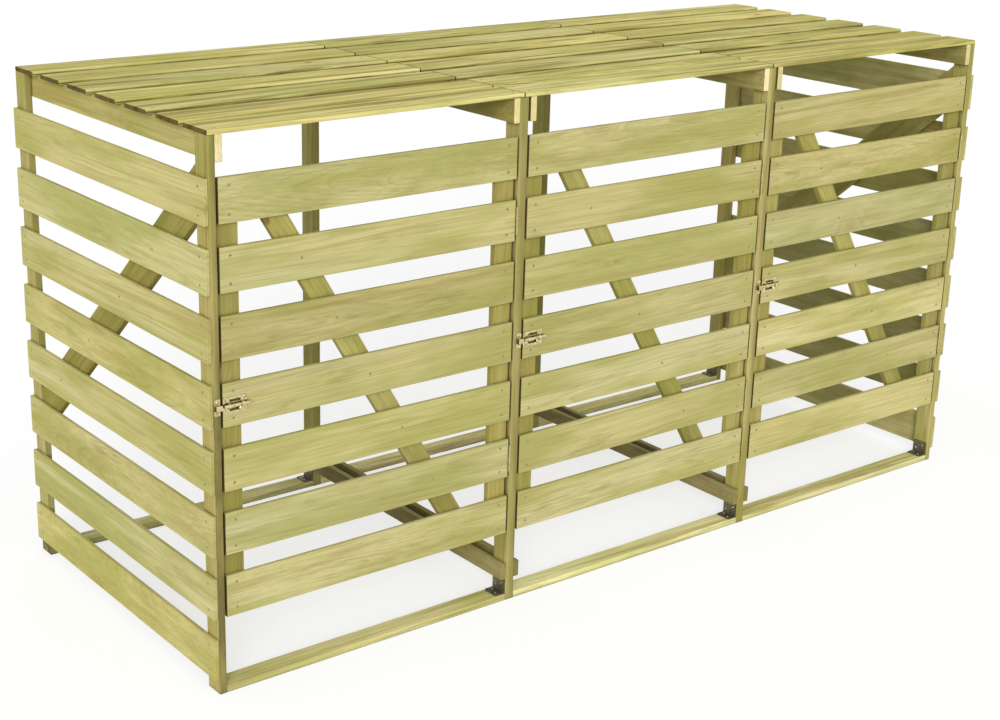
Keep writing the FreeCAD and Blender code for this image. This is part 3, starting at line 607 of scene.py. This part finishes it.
# Painted shade on the post fronts beside the door gaps, by a word in the post's name
FRONT_PAINTED_SHADES = {"left": 0.72, "partition": 0.50}
PLAIN_TINT = (1.0, 1.0, 1.0)
PLAIN_END_TONE = (0.66, 0.60, 0.50)
LIGHT_WEATHER = 0.16

frame_left, frame_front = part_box("front_left_post")[0][:2]
latch_height = (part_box("latch_bolt_1")[0][2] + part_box("latch_bolt_1")[1][2]) / 2


def listed(table, node, otherwise):
    """The entry of a table whose word is in a node's name."""
    return next((entry for word, entry in table.items() if word in node), otherwise)


def board_ends(points):
    """How a board lies: its two edges at both cut ends, its thin axis and its thickness."""
    low, high = extent(points)
    size = high - low
    thin = int(np.argmin(size))
    for along in sorted((axis for axis in range(3) if axis != thin), key=lambda axis: -size[axis]):
        across = 3 - thin - along
        ends = []
        for limit in (low[along], high[along]):
            there = points[np.abs(points[:, along] - limit) < SAME][:, across]
            ends.append((there.min(), there.max()))
        if all(last - first > 5 * MM for first, last in ends):
            break
    corners = np.zeros((2, 2, 3))
    for side, (limit, edges) in enumerate(zip((low[along], high[along]), ends)):
        for edge in range(2):
            corners[side, edge, along] = limit
            corners[side, edge, across] = edges[edge]
            corners[side, edge, thin] = (low[thin] + high[thin]) / 2
    return corners, thin, size[thin]


class Board:
    """One board, swept along its grain between two cut ends."""

    RING_STEP = 28 * MM
    END_CHAMFER = 0.7 * MM
    EDGE_RADIUS = 0.7 * MM
    EDGE_WANDER, FACE_WANDER, RADIUS_WANDER = 0.35 * MM, 0.22 * MM, 0.9 * MM

    def __init__(self, points, rng):
        self.corners, thin, self.thickness = board_ends(points)
        self.low, self.high = extent(points)
        self.middle = (self.low + self.high) / 2
        start, end = self.corners.mean(axis=1)
        self.length = np.linalg.norm(end - start)
        self.grain = (end - start) / self.length
        self.normal = np.eye(3)[thin]
        self.side = np.cross(self.normal, self.grain)
        self.rng = rng
        self.tone = np.clip(rng.gauss(1.0, 0.055), 0.88, 1.09)
        self.hue = np.clip(rng.gauss(0.0, 0.020), -0.026, 0.026)

    def holds(self, point):
        """Whether a point lies in the board's box."""
        return bool(np.all(point > self.low) and np.all(point < self.high))

    def wander(self, most):
        """A smooth function of the place along the board that stays between 0 and most."""
        waves = [(self.rng.uniform(0.10, 0.65), self.rng.uniform(0, 2 * math.pi)) for _ in range(3)]
        return lambda place: most * (0.5 + sum(math.sin(2 * math.pi * place / w + p) for w, p in waves) / 6)

    def section(self, edges, faces, radii):
        """The outline between two edges and two faces: eased corners, and a point midway up each edge."""
        (first, last), (back, front) = edges, faces
        eased = 1 - math.sqrt(0.5)
        quarter = [(0, 1), (eased, eased), (1, 0)]
        corners = ((first, 1, back, 1), (last, -1, back, 1), (last, -1, front, -1), (first, 1, front, -1))
        outline = []
        for index, ((s, inward_s, h, inward_h), radius) in enumerate(zip(corners, radii)):
            for a, b in reversed(quarter) if index % 2 else quarter:
                outline.append((s + inward_s * radius * a, h + inward_h * radius * b))
            if index == 1:
                outline.append((last, (back + front) / 2))
        outline.append((first, (back + front) / 2))
        return outline

    def shape(self):
        """The swept board, whose edges, faces and eased corners wander a little along it."""
        edge_in = [self.wander(self.EDGE_WANDER) for _ in range(2)]
        face_in = [self.wander(self.FACE_WANDER) for _ in range(2)]
        rounder = [self.wander(self.RADIUS_WANDER) for _ in range(4)]
        steps = max(2, round(self.length / self.RING_STEP))
        shares = [0.0, self.END_CHAMFER / self.length]
        shares += [step / steps for step in range(1, steps)]
        shares += [1 - self.END_CHAMFER / self.length, 1.0]
        half = self.thickness / 2
        points = []
        for index, share in enumerate(shares):
            inset = self.END_CHAMFER if index in (0, len(shares) - 1) else 0
            left, right = self.corners[0] * (1 - share) + self.corners[1] * share
            width = np.linalg.norm(right - left)
            way = (right - left) / width
            run = share * self.length
            edges = (edge_in[0](run) + inset, width - edge_in[1](run) - inset)
            faces = (-half + face_in[0](run) + inset, half - face_in[1](run) - inset)
            section = self.section(edges, faces, [self.EDGE_RADIUS + extra(run) for extra in rounder])
            points += [left + way * s + self.normal * h for s, h in section]
        sides = len(section)
        faces = [list(range(sides)), list(range(len(points) - sides, len(points)))]
        for base in range(0, len(points) - sides, sides):
            for step in range(sides):
                after = (step + 1) % sides
                faces.append([base + step, base + after, base + sides + after, base + sides + step])
        return np.array(points), faces

    def grain_frame(self):
        """From place to grain coordinates: a turn and a shift, the pith at a chance distance and tilt."""
        rng = self.rng
        basis = np.array([self.grain, self.side, self.normal])
        tilt = Matrix.Rotation(rng.gauss(0, 0.020), 3, "Z") @ Matrix.Rotation(rng.gauss(0, 0.034), 3, "Y")
        rows = np.array(tilt) @ basis
        depth = rng.uniform(0.012, 0.075) * rng.choice((-1, 1))
        shift = np.array([rng.uniform(-9, 9), rng.uniform(-0.035, 0.035), depth])
        return rows, shift - rows @ self.middle


def cutter_shape(place):
    """The hole that a sunk screw leaves round its head."""
    wide, shank = place.head_radius + HOLE_CLEARANCE, place.shank_radius
    lip, floor = SINK + HOLE_LIP, place.head_depth + SINK + 0.5 * MM
    profile = [(wide + HOLE_CLEARANCE / 2, -MM), (wide, lip), (shank, floor)]
    points, faces = lathe(profile, SCREW_SIDES)
    return turned(points, place.matrix(0, 0)), faces


def drilled(mesh, cutters):
    """A mesh less its screw holes."""
    body = bpy.data.objects.new("drilled", mesh)
    tool = bpy.data.objects.new("drill", mesh_of("drill", merge(cutters)))
    for thing in (body, tool):
        scene.collection.objects.link(thing)
    holes = body.modifiers.new("holes", "BOOLEAN")
    holes.operation = "DIFFERENCE"
    holes.solver = "EXACT"
    holes.object = tool
    bpy.context.view_layer.update()
    result = bpy.data.meshes.new_from_object(body.evaluated_get(bpy.context.evaluated_depsgraph_get()))
    for thing in (body, tool):
        bpy.data.objects.remove(thing)
    return result


def write_attribute(mesh, name, kind, domain, values):
    key = {"FLOAT_VECTOR": "vector", "FLOAT_COLOR": "color", "FLOAT": "value"}[kind]
    mesh.attributes.new(name, kind, domain).data.foreach_set(key, np.ravel(values))


def painted_shade_of(node, board, face):
    """How far a face is darkened, mostly by painted shade where other parts shade it, such as the edges of
    roof planks and the boards that the roof shelters.
    """
    normal, centre = face.normal, face.center
    depth = centre.y - frame_front
    faces_left = normal.x < -0.9
    # Painted shade in the gaps between roof planks: deep on the lower edge of each plank, faint on the upper
    # one, none at the front
    if node.startswith("roof_planks") and abs(np.dot(normal, board.side)) > 0.95:
        if depth < 10 * MM:
            return 0.0
        return 0.88 if centre.z < board.middle[2] else 0.12
    # Painted shade on the post fronts, beside the gaps to the doors
    if node.startswith("front") and normal.y < -0.5:
        return listed(FRONT_PAINTED_SHADES, node, 0.0)
    # The rear left post is darker at its foot
    if node == "rear_left_post" and centre.z < 30 * MM:
        return 0.96
    # Painted shade on the rear left post's front face, inside the store
    if node == "rear_left_post" and normal.y < -0.5:
        return 0.45
    # Painted shade on the left face of each door's left stile, in the gap beside the post
    if node.startswith("door_left_stile") and normal.x < -0.5:
        return 0.55
    # Painted shade on faces that look left: the battens under the roof and the partition rails, deeper
    # further back, and the inside of the right end
    if node == "roof_battens" and faces_left and centre.x > frame_left + 50 * MM:
        return min(0.86, 0.42 + depth * 1.5)
    if node.startswith("partition_rails") and faces_left:
        return min(0.72, 0.36 + depth * 0.9)
    if node in ("right_side_slats", "right_side_brace") and faces_left:
        return 0.40
    # The door braces are darker below the latch height
    if node.startswith("door_brace"):
        return min(0.32, max(0.0, latch_height - centre.z))
    # Painted shade on the bottom rails' front and back faces, so that their tops look lighter
    if node == "bottom_rails" and abs(normal.y) > 0.5:
        return 0.14
    return 0.0


def fade_of(node, points):
    """How much of its painted shade a post front shows: more to the right, and all of it below the left
    latch.
    """
    if not node.startswith("front"):
        return np.ones(len(points))
    (left, *_), (right, *_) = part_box(node)
    fade = 0.85 * (points[:, 0] - left) / (right - left)
    if node == "front_left_post":
        fade = np.maximum(fade, np.clip((latch_height + 75 * MM - points[:, 2]) / (90 * MM), 0, 1))
    return fade


def paint_boards(mesh, boards, node):
    """Give each point its grain coordinates and its board's chance values, and each face its end grain and
    its painted shade.
    """
    points = mesh_points(mesh)
    labels = island_labels(points, mesh_edges(mesh))
    middles = np.array([board.middle for board in boards])
    count = len(points)
    grain, chance, tone = np.zeros((count, 3)), np.zeros((count, 3)), np.ones((count, 4))
    tint_and_painted_light = np.array(listed(TINTS_AND_PAINTED_LIGHT, node, PLAIN_TINT))
    end_tone_and_painted_shade = np.tile((*listed(END_TONES_AND_PAINTED_SHADE, node, PLAIN_END_TONE), 1.0), (count, 1))
    owner = np.zeros(count, dtype=int)
    for label in np.unique(labels):
        members = labels == label
        low, high = extent(points[members])
        owner[members] = int(np.argmin(np.linalg.norm(middles - (low + high) / 2, axis=1)))
        board = boards[owner[members][0]]
        rows, shift = board.grain_frame()
        grain[members] = points[members] @ rows.T + shift
        chance[members] = [board.rng.random() for _ in range(3)]
        tone[members, :3] = tint_and_painted_light * board.tone * np.array([1 + board.hue, 1, 1 - 2 * board.hue])
    ends, painted_shades = [], []
    for face in mesh.polygons:
        board = boards[owner[face.vertices[0]]]
        facing = abs(np.dot(face.normal, board.grain))
        ends.append(min(1.0, max(0.0, (facing - 0.35) / 0.3)))
        painted_shades.append(painted_shade_of(node, board, face))
    write_attribute(mesh, "grain", "FLOAT_VECTOR", "POINT", grain)
    write_attribute(mesh, "board", "FLOAT_VECTOR", "POINT", chance)
    write_attribute(mesh, "tone", "FLOAT_COLOR", "POINT", tone)
    write_attribute(mesh, "end_tone_and_painted_shade", "FLOAT_COLOR", "POINT", end_tone_and_painted_shade)
    write_attribute(mesh, "fade", "FLOAT", "POINT", fade_of(node, points))
    write_attribute(mesh, "weather", "FLOAT", "POINT", np.full(count, listed(WEATHER, node, LIGHT_WEATHER)))
    write_attribute(mesh, "endgrain", "FLOAT", "FACE", ends)
    write_attribute(mesh, "painted_shade", "FLOAT", "FACE", painted_shades)


sunk_places = [
    place
    for node in screw_nodes if "hinge" not in node
    for place in screw_places[node] if place.sunk
]
wood_nodes = [node for node in body_of if slot_of[node] == "pressure_treated_timber"]
for number, node in enumerate(wood_nodes):
    rng = random.Random(BOARD_SEED + number)
    boards = [Board(points, rng) for points in solids(node)]
    mesh = mesh_of(node, merge([board.shape() for board in boards]))
    cutters = [
        cutter_shape(place) for place in sunk_places
        if any(board.holds(place.head + place.way * MM) for board in boards)
    ]
    if cutters:
        mesh = drilled(mesh, cutters)
        mesh.name = node
    paint_boards(mesh, boards, node)
    show(node, mesh, WOOD)


# Hinges. The plate of a leaf starts a little behind its knuckles, and a neck joins each knuckle to it.

KNUCKLE_GAP = 0.3 * MM
KNUCKLE_BORE = 0.54
PLATE_START, NECK_START = 1.12, 0.66
POST_KNUCKLES, DOOR_KNUCKLES = (0, 2), (1,)


def pin_shape(points):
    """A pin with eased ends."""
    low, high = extent(points)
    radius, length = (high[0] - low[0]) / 2, high[2] - low[2]
    profile = [(0, 0), (radius * 0.8, 0.05 * MM), (radius, 0.4 * MM)]
    profile += [(radius, length - 0.4 * MM), (radius * 0.8, length - 0.05 * MM), (0, length)]
    pin_points, faces = lathe(profile, 24)
    return pin_points + [(low[0] + high[0]) / 2, (low[1] + high[1]) / 2, low[2]], faces


def knuckle_heights(low, high):
    """Bottoms and tops of the three knuckles of a hinge."""
    length = (high - low - 2 * KNUCKLE_GAP) / 3
    bottoms = [low + index * (length + KNUCKLE_GAP) for index in range(3)]
    return [(bottom, bottom + length) for bottom in bottoms]


def leaf_shapes(points, screws, which):
    """The plate and the knuckles of one hinge leaf."""
    low, high = extent(points)
    pin = min(pins, key=lambda other: np.linalg.norm(other.mean(0) - (low + high) / 2))
    across, along = (pin.min(0) + pin.max(0))[:2] / 2
    knuckle = along - low[1]
    plate = points[points[:, 1] > along + knuckle + 2 * MM]
    left, right = plate[:, 0].min(), plate[:, 0].max()
    outward = -1 if left > across else 1
    face = left if outward < 0 else right
    start = along + knuckle * PLATE_START
    holes = []
    for screw in screws:
        x, y, z = screw.head
        if low[1] < y < high[1] and low[2] < z < high[2] and left - MM < x < right + MM:
            wide, narrow = screw.head_radius + 0.2 * MM, screw.shank_radius + 0.3 * MM
            holes.append((circle(y, z, wide), circle(y, z, narrow)))
    outer = round_rectangle((start, low[2]), (high[1], high[2]), 2.2 * MM)
    flat_points, faces = punched(outer, right - left, holes)
    upright = np.column_stack((face + outward * flat_points[:, 2], flat_points[:, 0], flat_points[:, 1]))
    shapes = [softened((upright, faces), 0.18 * MM)]
    bore = circle(across, along, knuckle * KNUCKLE_BORE, 32)
    neck_line = round_rectangle(
        (left, along + knuckle * NECK_START), (right, start + 1.5 * MM), 0.1 * MM, 1)
    for index in which:
        foot, top = knuckle_heights(low[2], high[2])[index]
        tube = punched(circle(across, along, knuckle, 32), top - foot, [(bore, bore)])
        neck = punched(neck_line, top - foot)
        for piece, rounding in ((tube, 0.2 * MM), (neck, 0.15 * MM)):
            shapes.append(laid(softened(piece, rounding), (0, 0, top), (1, 0, 0), (0, 1, 0)))
    return shapes


pins = solids("hinge_pins")
show("hinge_pins", mesh_of("hinge_pins", merge([pin_shape(points) for points in pins])), DULL)
for node in [name for name in body_of if "leaves" in name]:
    screws = screw_places[node.replace("leaves", "screws")]
    shapes = []
    for points in solids(node):
        shapes += leaf_shapes(points, screws, POST_KNUCKLES if "post" in node else DOOR_KNUCKLES)
    show(node, mesh_of(node, merge(shapes)), DULL)


# Corner brackets, bent from strip

def bracket_shape(points):
    """A strip bent to a right angle, with rounded ends."""
    low, high = extent(points)
    thick = levels(points[:, 2] - low[2])[1]
    foot, leg, depth = high[0] - low[0], high[2] - low[2], high[1] - low[1]
    bend = thick + 1.2 * MM
    section = [(-foot, 0)] + arc(-bend, bend, bend, -90, 0) + [(0, leg), (-thick, leg)]
    section += arc(-bend, bend, bend - thick, 0, -90) + [(-foot, thick)]

    def at_an_end(a, b):
        return abs(a.z - b.z) < SAME and (max(a.x, b.x) < SAME - foot or min(a.y, b.y) > leg - SAME)

    strip = softened(punched(section, depth), 4 * MM, steps=5, chosen=at_an_end)
    return laid(softened(strip, 0.35 * MM, angle=50), low + [foot, 0, 0], (1, 0, 0), (0, 0, 1))


bracket_shapes = [bracket_shape(points) for points in solids("corner_brackets")]
show("corner_brackets", mesh_of("corner_brackets", merge(bracket_shapes)), DARK)


# Barrel bolts

def keeper_shape(points):
    """A strap bent over the bolt's end, between two lugs with rounded corners."""
    low, high = extent(points)
    middle = (low[2] + high[2]) / 2
    reach, rise, width = high[1] - low[1], (high[2] - low[2]) / 2, high[0] - low[0]
    thick = levels(points[:, 1] - low[1])[1]
    outer = points[points[:, 1] < low[1] + thick / 2][:, 2].max() - middle
    fillet, bend = 0.9 * MM, 2.4 * MM
    front = [(thick, rise)] + arc(thick + fillet, outer + fillet, fillet, 180, 270)
    front += arc(reach - bend, outer - bend, bend, 90, 0)
    back = [(0, rise)] + arc(thick + fillet, outer + fillet, fillet + thick, 180, 270)
    back += arc(reach - bend, outer - bend, bend - thick, 90, 0)
    section = front + mirrored(reversed(front)) + mirrored(back) + list(reversed(back))

    def at_a_lug(a, b):
        return abs(a.z - b.z) < SAME and min(abs(a.y), abs(b.y)) > rise - SAME and a.y * b.y > 0

    strap = softened(punched(section, width), 2.6 * MM, steps=4, chosen=at_a_lug)
    return laid(softened(strap, 0.22 * MM, angle=50), (low[0], high[1], middle), (0, -1, 0), (0, 0, 1))


def latch_plate_shapes(points):
    """The backplate with its windows, its two guides, and last two thin dark pieces of painted shade behind
    the windows.
    """
    low, high = extent(points)
    middle = (low[2] + high[2]) / 2
    back = high[1]
    thick = levels(back - points[:, 1])[1]
    guides = points[points[:, 1] < back - thick - MM]
    radius = guides[:, 2].max() - middle
    edges = levels(guides[:, 0])
    bore = np.hypot(guides[:, 1] - low[1] - radius, guides[:, 2] - middle).min()
    axis = back - low[1] - radius
    beside = points[(np.abs(points[:, 0] - edges[1]) < SAME) & (points[:, 1] > back - SAME)][:, 2]
    window_low, window_high = [rise for rise in levels(np.abs(beside - middle)) if rise > radius][:2]
    outer = round_rectangle((low[0], low[2]), (high[0], high[2]), 3 * MM)
    holes, shade_sheets = [], []
    lap = 0.3 * MM
    for sign in (1, -1):
        bottom, top = sorted((middle + sign * window_low, middle + sign * window_high))
        window = round_rectangle((edges[1], bottom), (edges[2], top), 1.2 * MM)
        holes.append((window, window))
        # Behind each window a thin dark piece of painted shade
        wider = round_rectangle((edges[1] - lap, bottom - lap), (edges[2] + lap, top + lap), 1.4 * MM)
        shade_sheet = softened(punched(wider, lap), lap / 4)
        shade_sheets.append(laid(shade_sheet, (0, back - lap, 0), (1, 0, 0), (0, 0, 1)))
    plate = softened(punched(outer, thick, holes), 0.25 * MM, angle=50)
    shapes = [laid(plate, (0, back - thick, 0), (1, 0, 0), (0, 0, 1))]
    section = [(thick * 0.5, -radius)] + arc(axis, 0, radius, -90, 90, 16) + [(thick * 0.5, radius)]
    tunnel_start = thick + 0.02 * MM
    tunnel = [(tunnel_start, -bore)] + arc(axis, 0, bore, -90, 90, 16) + [(tunnel_start, bore)]
    for left, right in ((edges[0], edges[1]), (edges[2], edges[3])):
        guide = softened(punched(section, right - left, [(tunnel, tunnel)]), 0.2 * MM, angle=50)
        shapes.append(laid(guide, (left, back, middle), (0, -1, 0), (0, 0, 1)))
    return shapes + shade_sheets


def latch_bolt_shapes(points):
    """A round bolt along X with a knob that hangs down."""
    low, high = extent(points)
    radius = (high[1] - low[1]) / 2
    middle = Vector((low[0], (low[1] + high[1]) / 2, high[2] - radius))
    length = high[0] - low[0]
    rod = [(0, 0), (radius * 0.55, 0.05 * MM), (radius * 0.80, 0.45 * MM), (radius * 0.94, 1.0 * MM)]
    rod += [(radius, 1.8 * MM), (radius, length - 0.8 * MM), (radius * 0.92, length - 0.2 * MM)]
    rod += [(radius * 0.8, length), (0, length)]
    knob_end = points[points[:, 2] < low[2] + SAME][:, 0]
    wide = (knob_end.max() - knob_end.min()) / 2
    drop = middle.z - low[2]
    knob = [(0, 0), (wide * 0.72, 0), (wide * 0.72, radius + 0.6 * MM), (wide * 0.80, radius + 1.2 * MM)]
    knob += [(wide * 0.97, radius + 2.0 * MM), (wide, radius + 2.8 * MM), (wide, drop - 1.6 * MM)]
    knob += [(wide * 0.93, drop - 0.8 * MM), (wide * 0.72, drop - 0.2 * MM), (wide * 0.45, drop), (0, drop)]
    knob_top = Vector(((knob_end.max() + knob_end.min()) / 2, middle.y, middle.z))
    shapes = []
    for profile, origin, way in ((rod, middle, (1, 0, 0)), (knob, knob_top, (0, 0, -1))):
        turn = Vector((0, 0, 1)).rotation_difference(Vector(way)).to_matrix().to_4x4()
        shape_points, faces = lathe(profile, 32)
        shapes.append((turned(shape_points, Matrix.Translation(origin) @ turn), faces))
    return shapes


keeper_shapes = [keeper_shape(points) for points in solids("latch_keepers")]
show("latch_keepers", mesh_of("latch_keepers", merge(keeper_shapes)), ZINC)
for node in body_of:
    if node.startswith("latch_bolt_"):
        show(node, mesh_of(node, merge(latch_bolt_shapes(solids(node)[0]))), ZINC)
    if node.startswith("latch_plate_") and "screws" not in node:
        shapes = latch_plate_shapes(solids(node)[0])
        mesh = mesh_of(node, merge(shapes))
        show(node, mesh, ZINC)
        # The pieces behind the windows take the painted shade material
        mesh.materials.append(PAINTED_WINDOW_SHADE)
        shade_sheet_faces = sum(len(faces) for _, faces in shapes[-2:])
        for face in mesh.polygons[-shade_sheet_faces:]:
            face.material_index = 1


# Camera, at the photograph's viewing angle

YAW, PITCH, ROLL = (math.radians(angle) for angle in (37.084, -17.765, 1.033))
PLACE = Vector((-2.5620, -3.04745, 1.7191))
LENS, SENSOR_WIDTH = 62.084, 36
SHIFT_X, SHIFT_Y = 0.06, -0.03

forward = Vector((math.sin(YAW) * math.cos(PITCH), math.cos(YAW) * math.cos(PITCH), math.sin(PITCH)))
level = Vector((math.cos(YAW), -math.sin(YAW), 0))
upward = level.cross(forward)
right = level * math.cos(ROLL) + upward * math.sin(ROLL)
up = upward * math.cos(ROLL) - level * math.sin(ROLL)
camera_data = bpy.data.cameras.new("camera")
camera_data.sensor_width = SENSOR_WIDTH
camera_data.lens = LENS
camera_data.shift_x, camera_data.shift_y = SHIFT_X, SHIFT_Y
camera = bpy.data.objects.new("camera", camera_data)
camera.matrix_world = Matrix.Translation(PLACE) @ Matrix((right, up, -forward)).transposed().to_4x4()
scene.collection.objects.link(camera)
scene.camera = camera


# Light from the front left, a pale world and a pale floor

SUN_STRENGTH, SUN_ANGLE, TO_SUN = 2.4, math.radians(32), Vector((-0.60, -0.72, 0.30))
FILL, SEEN_WHITE = 0.52, 1.0
FLOOR_REACH, FLOOR_GREY, FLOOR_GLOW = 60, 0.47, 0.66


def seen_directly(tree):
    """1 for rays from the camera and for mirrored and transmitted rays, 0 for the rest."""
    path = tree.nodes.new("ShaderNodeLightPath")
    total = path.outputs["Is Camera Ray"]
    for name in ("Is Glossy Ray", "Is Transmission Ray"):
        most = tree.nodes.new("ShaderNodeMath")
        most.operation = "MAXIMUM"
        tree.links.new(total, most.inputs[0])
        tree.links.new(path.outputs[name], most.inputs[1])
        total = most.outputs[0]
    return total


sun_data = bpy.data.lights.new("key", "SUN")
sun_data.energy = SUN_STRENGTH
sun_data.angle = SUN_ANGLE
sun = bpy.data.objects.new("key", sun_data)
sun.rotation_mode = "QUATERNION"
sun.rotation_quaternion = TO_SUN.to_track_quat("Z", "Y")
scene.collection.objects.link(sun)

world = bpy.data.worlds.new("world")
scene.world = world
world.use_nodes = True
tree = world.node_tree
tree.nodes.clear()
strength = tree.nodes.new("ShaderNodeMapRange")
strength.inputs["To Min"].default_value = FILL
strength.inputs["To Max"].default_value = SEEN_WHITE
tree.links.new(seen_directly(tree), strength.inputs["Value"])
background = tree.nodes.new("ShaderNodeBackground")
tree.links.new(strength.outputs["Result"], background.inputs["Strength"])
background.inputs["Color"].default_value = rgb(1, 1, 1)
tree.links.new(background.outputs[0], tree.nodes.new("ShaderNodeOutputWorld").inputs["Surface"])

corners = [(x * FLOOR_REACH, y * FLOOR_REACH, 0) for x, y in ((-1, -1), (1, -1), (1, 1), (-1, 1))]
floor_mesh = bpy.data.meshes.new("floor")
floor_mesh.from_pydata(corners, [], [(0, 1, 2, 3)])
floor_shader = Shader("pale_floor")
glow = floor_shader.add("MapRange", "Result", {
    "Value": seen_directly(floor_shader.tree), "To Min": 0.0, "To Max": FLOOR_GLOW,
})
floor_mesh.materials.append(floor_shader.surface(
    Base_Color=rgb(FLOOR_GREY, FLOOR_GREY, FLOOR_GREY), Roughness=1.0, Specular_IOR_Level=0.0,
    Emission_Color=rgb(1, 1, 1), Emission_Strength=glow,
))
floor = bpy.data.objects.new("floor", floor_mesh)
scene.collection.objects.link(floor)

scene.view_settings.view_transform = "Standard"
